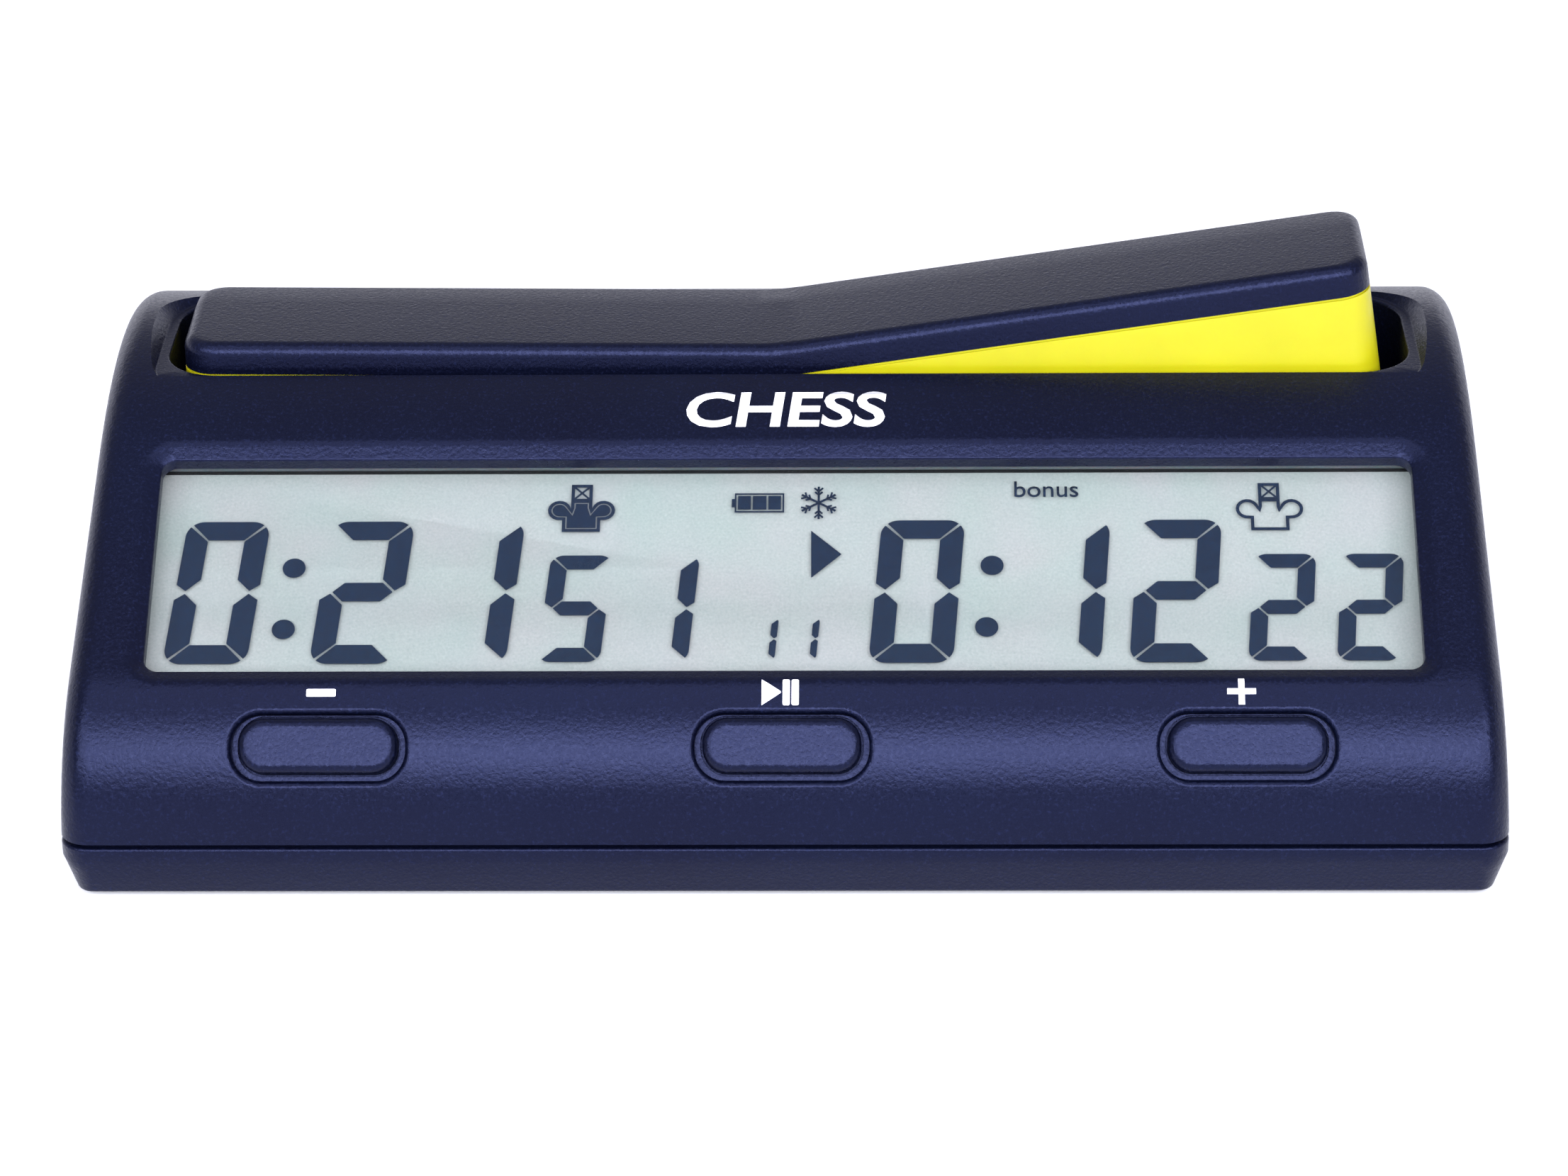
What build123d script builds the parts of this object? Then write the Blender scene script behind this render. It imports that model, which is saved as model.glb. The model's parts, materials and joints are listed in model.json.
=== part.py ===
"""Digital chess clock: wedge housing, rocker lever, three keys, segment display and battery tray.

Millimetres. X runs to the right, Y to the back, Z up. The origin is on the resting plane, below
the middle of the housing. The clock is drawn with its left player's end of the rocker down.
"""
import os
from math import atan, cos, degrees, radians, sin, tan

from build123d import *

# ---------------------------------------------------------------- driving dimensions
width = 170.0                 # across the parting line
front_y = -43.0
back_y = 43.0
foot_height = 0.8             # how far the rubber feet lift the tray
tray_top = 7.55               # parting line
tray_band = 1.9               # upright band of the tray, above its tapered skirt
tray_inset = 1.6              # how far the tray tapers in at the bottom
groove_height = 0.6
groove_depth = 0.9
side_draft = 3.0              # degrees
edge_radius = 3.5             # rounds the housing's ends
wall = 2.0

front_arc_z = 9.1             # the front rises straight to here, then rolls back
front_radius = 20.0
face_slope = 30.0             # degrees from level
face_length = 32.1
crown_radius = 46.0
crown_end_slope = 28.0        # degrees down, where the back rounding starts

display_width = 150.3         # opening
display_height = 30.1
display_along = 15.1          # opening's centre, measured up the sloping face
bezel = 2.0                   # width of the bevel round the opening
bezel_depth = 0.9
bezel_outer_round, bezel_inner_round = 2.5, 0.35
display_depth = 2.6           # how deep the display lies

key_pitch = 54.15
key_angle = 32.0              # degrees round the front arc
key_width, key_height, key_corner = 18.5, 6.5, 2.95
key_proud = 0.65
key_travel = 0.8
key_gap = 0.3
key_edge = 1.1
dish_side_room, dish_end_room = 0.6, 0.95       # trough round each key: above and below, left and right
dish_drop = 0.2               # the trough's middle lies this far below the key's
dish_depth, dish_lip = 1.9, 0.7

well_y = 16.8                 # middle of the rocker well
well_width, well_depth, well_corner = 152.2, 22.8, 6.5
land_z = 46.8                 # shallow recess round the well
land_draft = 38.0             # degrees, slope of the recess's step
well_edge = 0.4
land_width, land_back_y, land_corner = 154.6, 29.2, 8.2
tub_floor = 25.0
tub_wall = 1.5

rocker_half = 72.6            # length of each half
rocker_depth = 20.6
rocker_slope = 4.5            # rise of each half when level, degrees
rocker_tilt = 4.0             # swing to each side of level, degrees
rocker_apex_z = 49.6
rocker_pivot_drop = 20.0      # pivot below the apex
rocker_corner = 3.8
rocker_edge = 1.5
rocker_bend_radius = 38.0
cap_thickness = 3.85
cap_wall = 1.6
cap_roll, cap_roll_drop = 7.0, 0.7   # slope of the cap's top towards its back edge
skirt_depth = 20.0            # from the top face to the skirt's lower edge
skirt_wall = 1.6
skirt_lip = 0.35              # height of the reveal under the cap
skirt_lip_inset = 0.25
pivot_radius = 1.5
running_clearance = 0.05

cell_radius, cell_length = 7.1, 50.5
cell_pitch = 15.6
cell_z = 10.1
bay_y = 20.0                  # middle of the two cells
bay_half_width = 28.5
bay_roof = 17.6
bay_wall = 1.4
door_thickness = 1.6
door_gap = 0.3

screw_spots = [(-77, -35), (77, -35), (-77, 36), (77, 36), (-45, 37), (45, 37)]
foot_spots = [(-64, -32), (64, -32), (-64, 32), (64, 32)]
foot_radius = 5.5

tray_floor = 2.8              # heights of the inner pieces, from the table
channel_top = 2.7
rail_bottom = 1.5
foot_top = 1.5
boss_bottom = 10.6
front_boss_top = 18.6
screw_tip = 17.6
screw_head_top = 6.0
screw_radius = 1.4
screw_head_radius = 2.8
switch_board_top = 22.8
switch_top, plunger_top = 27.0, 29.2
switch_x, switch_board_screw_x = 14.0, 21.0
stop_post_top = 28.9
stop_pad_thickness = 0.9
cap_screw_places = (-58.0, -28.0, 28.0, 58.0)
buzzer_spot, buzzer_radius, buzzer_height = (-58.0, 10.0), 10.0, 4.6
sound_hole_radius, sound_ring_radius = 0.9, 4.0
power_spot = (54.0, 12.0)
power_screw_pitch = 5.8       # from the power switch's middle

glass_near, glass_far = display_depth + 0.2, display_depth + 2.4   # depths below the sloping face
glass_width, glass_height, contact_ledge = 154.4, 32.6, 2.4
reflector_thickness = 0.25
frame_near, frame_far = 2.3, 7.2
board_near, board_far = 7.3, 8.9
board_width, board_bottom, board_top = 156.0, -17.0, 19.4
zebra_along = 17.4
board_screw_spots = [(x, y) for x in (-72.0, -24.0, 24.0, 72.0) for y in (-12.0, 12.0)]

key_places = (-key_pitch, 0.0, key_pitch)
key_flange_near, key_flange_far = 3.0, 3.8      # depths below the front arc, at the keys
pill_far = 5.2
pill_offset = -1.0
keyboard_near, keyboard_far = 6.4, 7.4
keyboard_middle = -2.4
keyboard_screw_places = (-68.0, -27.0, 27.0, 68.0)

# ---------------------------------------------------------------- worked-out places
half_width = width / 2
front_centre = (front_y + front_radius, front_arc_z)
face_start = (front_centre[0] - front_radius * sin(radians(face_slope)),
              front_centre[1] + front_radius * cos(radians(face_slope)))
face_end = (face_start[0] + face_length * cos(radians(face_slope)),
            face_start[1] + face_length * sin(radians(face_slope)))
crown_centre = (face_end[0] + crown_radius * sin(radians(face_slope)),
                face_end[1] - crown_radius * cos(radians(face_slope)))
crown_end = (crown_centre[0] + crown_radius * sin(radians(crown_end_slope)),
             crown_centre[1] + crown_radius * cos(radians(crown_end_slope)))
back_radius = (back_y - crown_end[0]) / (1 - sin(radians(crown_end_slope)))
back_centre = (back_y - back_radius, crown_end[1] - back_radius * cos(radians(crown_end_slope)))

pivot_z = rocker_apex_z - rocker_pivot_drop * cos(radians(rocker_tilt))
well_front = well_y - well_depth / 2
well_back = well_y + well_depth / 2

face_plane = Plane(
    origin=(0, face_start[0] + display_along * cos(radians(face_slope)),
            face_start[1] + display_along * sin(radians(face_slope))),
    x_dir=(1, 0, 0),
    z_dir=(0, -sin(radians(face_slope)), cos(radians(face_slope))))


def key_plane(x):
    """Plane that lies on the front arc at one key, facing outwards."""
    turn = radians(key_angle)
    return Plane(
        origin=(x, front_centre[0] - front_radius * cos(turn), front_centre[1] + front_radius * sin(turn)),
        x_dir=(1, 0, 0),
        z_dir=(0, -cos(turn), sin(turn)))


# ---------------------------------------------------------------- small helpers
def block(x, y, z):
    """Box given by three (low, high) pairs."""
    size = [high - low for low, high in (x, y, z)]
    middle = [(high + low) / 2 for low, high in (x, y, z)]
    return Pos(*middle) * Box(*size)


def post(x, y, z, radius):
    """Upright cylinder; z is a (low, high) pair."""
    return Pos(x, y, (z[0] + z[1]) / 2) * Cylinder(radius, z[1] - z[0])


def pad(plane, x_size, y_size, corner, near, far, at=(0, 0)):
    """Rounded rectangle on a plane, from depth near to depth far below it."""
    outline = Pos(at[0], at[1], -far) * RectangleRounded(x_size, y_size, corner)
    return plane * extrude(outline, far - near)


def pin(plane, x, y, near, far, radius):
    """Cylinder square to a plane, from depth near to depth far below it."""
    return plane * Pos(x, y, -(near + far) / 2) * Cylinder(radius, far - near)


def on_circle(centre, radius, angle):
    return (centre[0] + radius * cos(radians(angle)), centre[1] + radius * sin(radians(angle)))


def wire_run(points, bend, radius):
    """Insulated wire along straight runs joined by tangent arcs."""
    path = FilletPolyline(*points, radius=bend)
    start = Plane(origin=path @ 0, z_dir=path % 0)
    return sweep(start * Circle(radius), path=path)


# ---------------------------------------------------------------- housing shell
def housing_outline(inset, bottom):
    """Side outline of the housing, inset evenly from its outer skin."""
    front = front_radius - inset
    crown = crown_radius - inset
    back = back_radius - inset
    face_angle = 90 + face_slope
    crown_angle = 90 - crown_end_slope
    with BuildSketch(Plane.YZ) as outline:
        with BuildLine():
            Line((front_y + inset, bottom), (front_y + inset, front_arc_z))
            ThreePointArc(on_circle(front_centre, front, 180),
                          on_circle(front_centre, front, (180 + face_angle) / 2),
                          on_circle(front_centre, front, face_angle))
            Line(on_circle(front_centre, front, face_angle), on_circle(crown_centre, crown, face_angle))
            ThreePointArc(on_circle(crown_centre, crown, face_angle),
                          on_circle(crown_centre, crown, (face_angle + crown_angle) / 2),
                          on_circle(crown_centre, crown, crown_angle))
            ThreePointArc(on_circle(back_centre, back, crown_angle),
                          on_circle(back_centre, back, crown_angle / 2),
                          on_circle(back_centre, back, 0))
            Line((back_y - inset, back_centre[1]), (back_y - inset, bottom))
            Line((back_y - inset, bottom), (front_y + inset, bottom))
        make_face()
    return outline.sketch


def housing_block(inset, bottom):
    """Solid wedge with drafted ends and rounded end edges."""
    wedge = extrude(housing_outline(inset, bottom), half_width + 1, both=True)
    height = 60.0
    low_half = half_width - inset + (tray_top - bottom) * tan(radians(side_draft))
    high_half = low_half - (height - bottom) * tan(radians(side_draft))
    ends = Polygon((-low_half, bottom), (low_half, bottom), (high_half, height), (-high_half, height),
                   align=None)
    wedge = wedge & extrude(Plane.XZ * ends, 60, both=True)
    end_edges = [edge for edge in wedge.edges()
                 if abs(edge.center().X) > half_width - 6 and abs(edge.center().Z - bottom) > 0.2]
    return fillet(end_edges, edge_radius - inset * 0.9)


def edges_of_well(shell):
    """Upper edge loop of the rocker well."""
    loop = []
    for edge in shell.edges():
        middle = edge.center()
        inside = abs(middle.X) < well_width / 2 + 0.01 and abs(middle.Y - well_y) < well_depth / 2 + 0.01
        if inside and abs(middle.Z - land_z) < 0.01:
            loop.append(edge)
    return loop


def edges_of_opening(shell, depth, half_width_there):
    """Edges of the display opening that lie at one depth below the sloping face."""
    loop = []
    for edge in shell.edges():
        middle = face_plane.to_local_coords(edge.center())
        near = abs(middle.X) < half_width_there + 0.05 and abs(middle.Y) < display_height / 2 + bezel + 0.05
        outside = abs(middle.X) > display_width / 2 - 3 or abs(middle.Y) > display_height / 2 - 1
        if near and outside and abs(middle.Z + depth) < 0.02:
            loop.append(edge)
    return loop


def edges_of_dishes(shell):
    """Outer edges of the troughs round the keys."""
    loops = []
    for x in key_places:
        plane = key_plane(x)
        for edge in shell.edges():
            middle = plane.to_local_coords(edge.center())
            rise = abs((plane.to_local_coords(edge @ 0) - plane.to_local_coords(edge @ 1)).Z)
            if abs(middle.X) < key_width / 2 + 3 and abs(middle.Y) < key_height / 2 + 3:
                if -1.2 < middle.Z < 0.2 and rise < 0.9:
                    loops.append(edge)
    return loops


def upper_housing():
    shell = housing_block(0, tray_top) - housing_block(wall, tray_top - 1)

    # rocker well: a tub with walls and a floor hangs inside the shell
    well = Pos(0, well_y, 0) * RectangleRounded(well_width, well_depth, well_corner)
    tub_outline = Pos(0, well_y, 0) * RectangleRounded(
        well_width + 2 * tub_wall, well_depth + 2 * tub_wall, well_corner + tub_wall)
    tub = extrude(Pos(0, 0, tub_floor - tub_wall) * tub_outline, land_z - tub_floor + tub_wall)
    shell += tub & housing_block(0, tray_top)
    land_front_y = well_front - 6
    land_centre_y = (land_front_y + land_back_y) / 2
    land = Pos(0, land_centre_y, land_z) * RectangleRounded(
        land_width, land_back_y - land_front_y, land_corner)
    shell -= extrude(land, 5, taper=-land_draft)
    # solid rim under the recess, so that the step never breaks through the shell
    rim = extrude(Pos(0, well_y, land_z - 2.2) * RectangleRounded(
        land_width + 1, well_depth + 4.5, land_corner), 2.2)
    shell += rim & housing_block(0.6, tray_top)
    shell -= extrude(Pos(0, 0, tub_floor) * well, 30)
    shell = fillet(edges_of_well(shell), well_edge)

    # axle bosses and bores, switch windows, board pillars and stop posts on the tub
    for boss_y in (well_front - tub_wall - 0.7, well_back + tub_wall + 0.7):
        shell += Pos(0, boss_y, pivot_z) * Rot(90, 0, 0) * Cylinder(3.6, 1.6)
    shell -= Pos(0, well_y, pivot_z) * Rot(90, 0, 0) * Cylinder(pivot_radius, well_depth + 10)
    for side in (-1, 1):
        x = side * switch_x
        shell -= block((x - 3.4, x + 3.4), (well_y - 3.4, well_y + 3.4), (tub_floor - 2, tub_floor + 1))
        x = side * switch_board_screw_x
        shell += post(x, well_y, (switch_board_top, tub_floor - 0.5), 2.2)
        shell -= post(x, well_y, (switch_board_top - 1, tub_floor - 0.4), 1.0)
        near, far = sorted((side * 69.5, side * 75.2))
        shell += block((near, far), (well_y - 6, well_y + 6), (tub_floor - 0.5, stop_post_top))

    # display opening: bevelled frame, straight throat and a raised seat behind
    shell += pad(face_plane, display_width + 6, display_height + 3.4, 3, wall - 0.2, display_depth)
    shell -= pad(face_plane, display_width, display_height, 1.8, -1, display_depth + 1)
    bevel_taper = degrees(atan(bezel / bezel_depth))
    bevel = RectangleRounded(display_width + 2 * bezel, display_height + 2 * bezel, 1.8 + bezel)
    shell -= face_plane * extrude(bevel, -bezel_depth, taper=bevel_taper)
    shell = fillet(edges_of_opening(shell, bezel_depth, display_width / 2), bezel_inner_round)
    shell = fillet(edges_of_opening(shell, 0, display_width / 2 + bezel), bezel_outer_round)

    # key wells: a trough with a rounded lip round each key, then the key's hole
    for x in key_places:
        shell -= pad(key_plane(x), key_width + 2 * dish_end_room, key_height + 2 * dish_side_room,
                     key_corner + dish_side_room, -1, dish_depth, at=(0, -dish_drop))
    shell = fillet(edges_of_dishes(shell), dish_lip)
    for x in key_places:
        shell -= pad(key_plane(x), key_width + 2 * key_gap, key_height + 2 * key_gap,
                     key_corner + key_gap, -1, 4)

    # parting groove, outside only
    groove_outer = housing_block(-1, tray_top - 1) - housing_block(groove_depth, tray_top - 1)
    shell -= groove_outer & block((-90, 90), (-50, 50), (tray_top - 0.5, tray_top + groove_height))

    # screw bosses
    for x, y in screw_spots:
        if y > 0:
            boss = post(x, y, (boss_bottom, 50), 3.4)
            boss -= block((-79, 79), (0, well_back + tub_wall + 0.2), (0, 60))
        else:
            outside = (x, half_width) if x > 0 else (-half_width, x)
            boss = post(x, y, (boss_bottom, front_boss_top), 3.4)
            boss += block(outside, (y - 1.2, y + 1.2), (boss_bottom, front_boss_top))
            boss += block((x - 1.2, x + 1.2), (front_y, y), (boss_bottom, front_boss_top))
        shell += boss & housing_block(wall / 2, tray_top)
        shell -= post(x, y, (boss_bottom - 1, screw_tip), screw_radius)
    for x in keyboard_screw_places:
        shell += pin(key_plane(x), 0, keyboard_middle, wall - 0.3, keyboard_near, 2.4)
        shell -= pin(key_plane(x), 0, keyboard_middle, wall + 0.6, keyboard_near + 1, 0.9)

    # snap hooks that hold the display module
    for x in (-52, 0, 52):
        hook = pad(face_plane, 5, 1.4, 0.3, wall - 0.3, board_far + 1.1, at=(x, board_top + 1.0))
        hook += pad(face_plane, 5, 2.2, 0.3, board_far + 0.1, board_far + 1.1, at=(x, board_top + 0.5))
        shell += hook
    for x in (-30, 30):
        hook = pad(face_plane, 5, 1.2, 0.3, wall - 0.3, board_far + 1.1, at=(x, board_bottom - 0.9))
        hook += pad(face_plane, 5, 1.8, 0.3, board_far + 0.1, board_far + 1.1, at=(x, board_bottom - 0.4))
        shell += hook
    return shell


# ---------------------------------------------------------------- tray
def tray_block():
    """Outer body of the tray, from its flat bottom to the parting line."""
    plan = RectangleRounded(width, back_y - front_y, edge_radius)
    band = extrude(Pos(0, 0, tray_top - tray_band) * plan, tray_band)
    skirt_height = tray_top - tray_band - foot_height
    taper = degrees(atan(tray_inset / skirt_height))
    skirt = extrude(Pos(0, 0, tray_top - tray_band) * plan, -skirt_height, taper=taper)
    body = band + skirt
    body = fillet(body.faces().sort_by(Axis.Z)[0].edges(), 0.7)
    return fillet(body.faces().sort_by(Axis.Z)[-1].edges(), 0.35)


def base_tray():
    tray = tray_block()
    inner = RectangleRounded(width - 6.8, back_y - front_y - 6.8, 2.0)
    tray -= extrude(Pos(0, 0, tray_floor) * inner, 20)
    tongue = RectangleRounded(width - 2 * wall - 0.4, back_y - front_y - 2 * wall - 0.4, 2.0)
    tongue_ring = extrude(Pos(0, 0, tray_top - 1.5) * tongue, 3.2)
    tongue_ring -= extrude(Pos(0, 0, tray_top - 1.6) * inner, 4)
    tray += tongue_ring

    # battery bay and the channel that the door slides in
    bay_front = bay_y - cell_pitch / 2 - cell_radius - 0.9
    bay_back = bay_y + cell_pitch / 2 + cell_radius + 0.9
    tray += block((-bay_half_width - 3.3, bay_half_width + 3.3), (bay_front - bay_wall, back_y - 3),
                  (tray_floor - 0.5, channel_top + 1.5))
    tray += block((-bay_half_width - bay_wall, bay_half_width + bay_wall),
                  (bay_front - bay_wall, bay_back + bay_wall), (tray_floor - 0.5, bay_roof + bay_wall))
    tray -= block((-bay_half_width, bay_half_width), (bay_front, bay_back), (0, bay_roof))
    tray -= block((-bay_half_width, bay_half_width), (bay_front, back_y + 1), (0, channel_top))
    tray -= block((-bay_half_width - 1.6, bay_half_width + 1.6), (bay_front - 0.3, back_y + 1),
                  (rail_bottom, channel_top))
    tray += block((-bay_half_width, bay_half_width), (bay_y - 0.4, bay_y + 0.4), (bay_roof - 3, bay_roof))
    for y in (bay_y - cell_pitch / 2, bay_y + cell_pitch / 2):
        tray -= block((-bay_half_width - 3, -bay_half_width + 0.1), (y - 2.2, y + 2.2), (12.5, 14.5))

    # screw posts, feet recesses, sound holes and the power switch's slot
    for x, y in screw_spots:
        tray += post(x, y, (tray_floor - 0.5, boss_bottom), 3.9) & extrude(
            Pos(0, 0, foot_height) * RectangleRounded(width - 4, 82, 2), 20)
        tray -= post(x, y, (0, boss_bottom + 1), screw_radius + 0.2)
        tray -= post(x, y, (0, screw_head_top), screw_head_radius + 0.3)
    for x, y in foot_spots:
        tray += post(x, y, (tray_floor - 0.5, tray_floor + 0.6), foot_radius + 1.2)
        tray -= post(x, y, (0, foot_top), foot_radius + 0.05)
    tray -= post(*buzzer_spot, (0, tray_floor + 1), sound_hole_radius)
    for turn in range(6):
        hole = on_circle(buzzer_spot, sound_ring_radius, 60 * turn)
        tray -= post(*hole, (0, tray_floor + 1), sound_hole_radius)
    x, y = power_spot
    tray -= block((x - 4.6, x + 4.6), (y - 1.9, y + 1.9), (0, 5))
    tray -= block((x - 8, x + 8), (y - 4, y + 4), (0, foot_height + 0.9))
    for side in (-1, 1):
        tray -= post(x + side * power_screw_pitch, y, (tray_floor - 0.8, tray_floor + 1), 0.9)
    return tray


def battery_door():
    """Flat door that slides out to the back; its rear edge carries on the tray's tapered skirt."""
    bay_front = bay_y - cell_pitch / 2 - cell_radius - 0.9
    half = bay_half_width - door_gap
    door = block((-half, half), (bay_front + door_gap, back_y + 1), (foot_height, foot_height + door_thickness))
    rails = block((-half - 1.3, half + 1.3), (bay_front + door_gap, back_y + 1),
                  (rail_bottom + door_gap, foot_height + door_thickness))
    door = (door + rails) & tray_block()
    for step in range(6):
        y = back_y - 6 - 1.8 * step
        door -= block((-9, 9), (y - 0.45, y + 0.45), (0, foot_height + 0.45))
    return door


# ---------------------------------------------------------------- rocker
def rocker_outline(top, bottom):
    """V-shaped side outline between two depths below the top face, with the apex at the origin."""
    rise = radians(rocker_slope)

    def end(side, depth):
        return (side * (rocker_half * cos(rise) + depth * sin(rise)),
                rocker_half * sin(rise) - depth * cos(rise))

    points = [(0, -top / cos(rise)), end(1, top), end(1, bottom), (0, -bottom / cos(rise)),
              end(-1, bottom), end(-1, top)]
    face = Polygon(*points, align=None)
    bends = [vertex for vertex in face.vertices() if abs(vertex.X) < 0.01]
    return fillet(bends, rocker_bend_radius)


def roll_back(slab):
    """Slope the top of the slab down towards its back edge."""
    back = [edge for edge in slab.edges()
            if edge.center().Y > rocker_depth / 2 - 0.01 and on_rocker_top(edge, cap_thickness / 2)]
    return chamfer(back, cap_roll, cap_roll_drop)


def on_rocker_top(edge, tolerance):
    """Whether an edge runs along the top of a slab whose apex is at the origin."""
    middle = edge.center()
    level = abs(edge.tangent_at(0.5).Z) < 0.5
    return level and middle.Z > abs(middle.X) * tan(radians(rocker_slope)) - tolerance


def on_rocker_side(edge):
    """Whether an edge lies on the rocker's outer walls or its rounded corners."""
    middle = edge.center()
    return abs(middle.Y) > rocker_depth / 2 - 0.01 or abs(middle.X) > rocker_half - rocker_corner


def rocker_slab(top, bottom, inset=0.0, rolled=False):
    """Solid V-shaped slab with rounded corners, in the rocker's level position about its pivot."""
    outline = rocker_outline(top, bottom)
    slab = extrude(Plane.XZ * outline, rocker_depth / 2 - inset, both=True)
    if rolled:
        slab = roll_back(slab)
    if inset:
        for side in (-1, 1):
            cut = Pos(side * rocker_half * 1.5, 0, 0) * Box(rocker_half, 40, 80)
            rise = side * rocker_slope
            slab -= Rot(0, -rise, 0) * Pos(-side * inset, 0, 0) * cut
    corners = [edge for edge in slab.edges()
               if abs(edge.center().X) > rocker_half - 6 and abs(edge.tangent_at(0.5).Z) > 0.9]
    slab = fillet(corners, rocker_corner - inset)
    if rolled:
        rim = [edge for edge in slab.edges()
               if on_rocker_top(edge, cap_roll_drop + 0.9) and on_rocker_side(edge)]
        slab = fillet(rim, rocker_edge)
    return Pos(0, 0, rocker_pivot_drop) * slab


def set_rocker(shape):
    """Put a level rocker piece at rest, with its left end down."""
    return Pos(0, well_y, pivot_z) * Rot(0, -rocker_tilt, 0) * shape


def rocker_cap():
    cap = rocker_slab(0, cap_thickness, rolled=True)
    hollow = rocker_slab(cap_thickness - cap_wall, cap_thickness + 5, 2.0)
    cap -= hollow
    for x in cap_screw_places:
        cap += post(x, 0, (cap_boss_bottom(x), cap_boss_bottom(x) + 5.5), 2.8) & rocker_slab(1, 12)
        cap -= post(x, 0, (cap_boss_bottom(x) - 1, cap_boss_bottom(x) + 4.2), 1.1)
    return set_rocker(cap)


def cap_boss_bottom(x):
    return rocker_pivot_drop + abs(x) * tan(radians(rocker_slope)) - cap_thickness - 2.4


def rocker_skirt():
    skirt = rocker_slab(cap_thickness + skirt_lip, skirt_depth)
    skirt += rocker_slab(cap_thickness, cap_thickness + skirt_lip, skirt_lip_inset)
    skirt -= rocker_slab(cap_thickness + 1.8, skirt_depth + 6, skirt_wall)
    room = rocker_slab(cap_thickness + 1, skirt_depth, skirt_wall / 2)
    for x in (-44, -14, 14, 44):
        skirt += block((x - 0.8, x + 0.8), (-rocker_depth / 2, rocker_depth / 2), (-10, 30)) & room
    lug_half = 4.5
    for side in (-1, 1):
        near, far = sorted((side * rocker_depth / 2, side * (rocker_depth / 2 - 3.0)))
        lug = block((-lug_half, lug_half), (near, far), (0, rocker_pivot_drop - cap_thickness - 1))
        lug += Pos(0, (near + far) / 2, 0) * Rot(90, 0, 0) * Cylinder(3.4, far - near)
        skirt += lug
    skirt -= Rot(90, 0, 0) * Cylinder(pivot_radius + running_clearance, rocker_depth + 10)
    for x in cap_screw_places:
        skirt -= post(x, 0, (0, 40), 3.1) & rocker_slab(0, cap_thickness + 1.9)
    return set_rocker(skirt)


def rocker_screws():
    screws = []
    for x in cap_screw_places:
        bottom = cap_boss_bottom(x)
        screw = post(x, 0, (bottom, bottom + 4.0), 1.1)
        screw += post(x, 0, (bottom - 1.4, bottom), 4.0)
        screws.append(set_rocker(screw))
    return Compound(children=screws)


# ---------------------------------------------------------------- keys and their board
def key_cap(x):
    plane = key_plane(x)
    cap = pad(plane, key_width, key_height, key_corner, -key_proud, key_flange_near)
    rim = [edge for edge in cap.edges() if plane.to_local_coords(edge.center()).Z > key_proud - 0.01]
    cap = fillet(rim, key_edge)
    return cap + pad(plane, key_width + 2.0, key_height + 1.8, key_corner + 0.8,
                     key_flange_near, key_flange_far)


def key_pill(x):
    return pad(key_plane(x), 12, 4, 1.8, key_flange_far, pill_far, at=(0, pill_offset))


def keypad_mat():
    mat = pad(key_plane(0), 130, 9.0, 1, 5.6, keyboard_near, at=(0, keyboard_middle))
    for x in key_places:
        mat -= pad(key_plane(x), 12.8, 4.8, 2.1, 5, 7, at=(0, pill_offset))
    for x in keyboard_screw_places:
        mat -= pin(key_plane(x), 0, keyboard_middle, 5, 7, 2.6)
    return mat


def keypad_board():
    board = pad(key_plane(0), 142, 9.6, 1, keyboard_near, keyboard_far, at=(0, keyboard_middle))
    for x in keyboard_screw_places:
        board -= pin(key_plane(x), 0, keyboard_middle, 6, 8, 1.1)
    return board


def keypad_screws():
    screws = []
    for x in keyboard_screw_places:
        screw = pin(key_plane(x), 0, keyboard_middle, keyboard_near - 3.5, keyboard_far, 0.9)
        screw += pin(key_plane(x), 0, keyboard_middle, keyboard_far, keyboard_far + 1.2, 1.9)
        screws.append(screw)
    return Compound(children=screws)


# ---------------------------------------------------------------- display module
def lcd_front_polariser():
    return pad(face_plane, display_width + 2.6, display_height + 1.5, 0.6, display_depth, glass_near)


def lcd_glass():
    """Two bonded plates; the rear one is longer at the top, where the contacts are."""
    half = (glass_near + glass_far) / 2
    glass = pad(face_plane, glass_width, glass_height, 0.4, glass_near, half)
    return glass + pad(face_plane, glass_width, glass_height + contact_ledge, 0.4, half, glass_far,
                       at=(0, contact_ledge / 2))


def lcd_reflector():
    return pad(face_plane, display_width + 2.6, display_height + 1.5, 0.6, glass_far,
               glass_far + reflector_thickness)


def lcd_frame():
    up = (0, contact_ledge / 2)
    frame = pad(face_plane, glass_width + 3.0, glass_height + 3.8, 1.2, frame_near + 0.4, frame_far, at=up)
    frame -= pad(face_plane, glass_width + 0.4, glass_height + 2.8, 0.5, 0, glass_far, at=up)
    frame -= pad(face_plane, glass_width - 0.8, glass_height - 0.4, 0.5, 0, glass_far + 0.3)
    frame -= pad(face_plane, 150.4, 2.2, 0.3, 0, 10, at=(0, zebra_along))
    for x, y in board_screw_spots:
        frame -= pin(face_plane, x, y, frame_far - 1.6, frame_far + 1, 0.8)
    return frame


def zebra_strip():
    return pad(face_plane, 150.0, 1.8, 0.2, glass_far, board_near, at=(0, zebra_along))


def main_board():
    board = pad(face_plane, board_width, board_top - board_bottom, 1.0, board_near, board_far,
                at=(0, (board_top + board_bottom) / 2))
    for x, y in board_screw_spots:
        board -= pin(face_plane, x, y, board_near - 1, board_far + 1, 1.0)
    return board


def board_screws():
    screws = []
    for x, y in board_screw_spots:
        screw = pin(face_plane, x, y, frame_far - 1.6, board_far, 0.8)
        screw += pin(face_plane, x, y, board_far, board_far + 1.0, 1.6)
        screws.append(screw)
    return Compound(children=screws)


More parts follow.
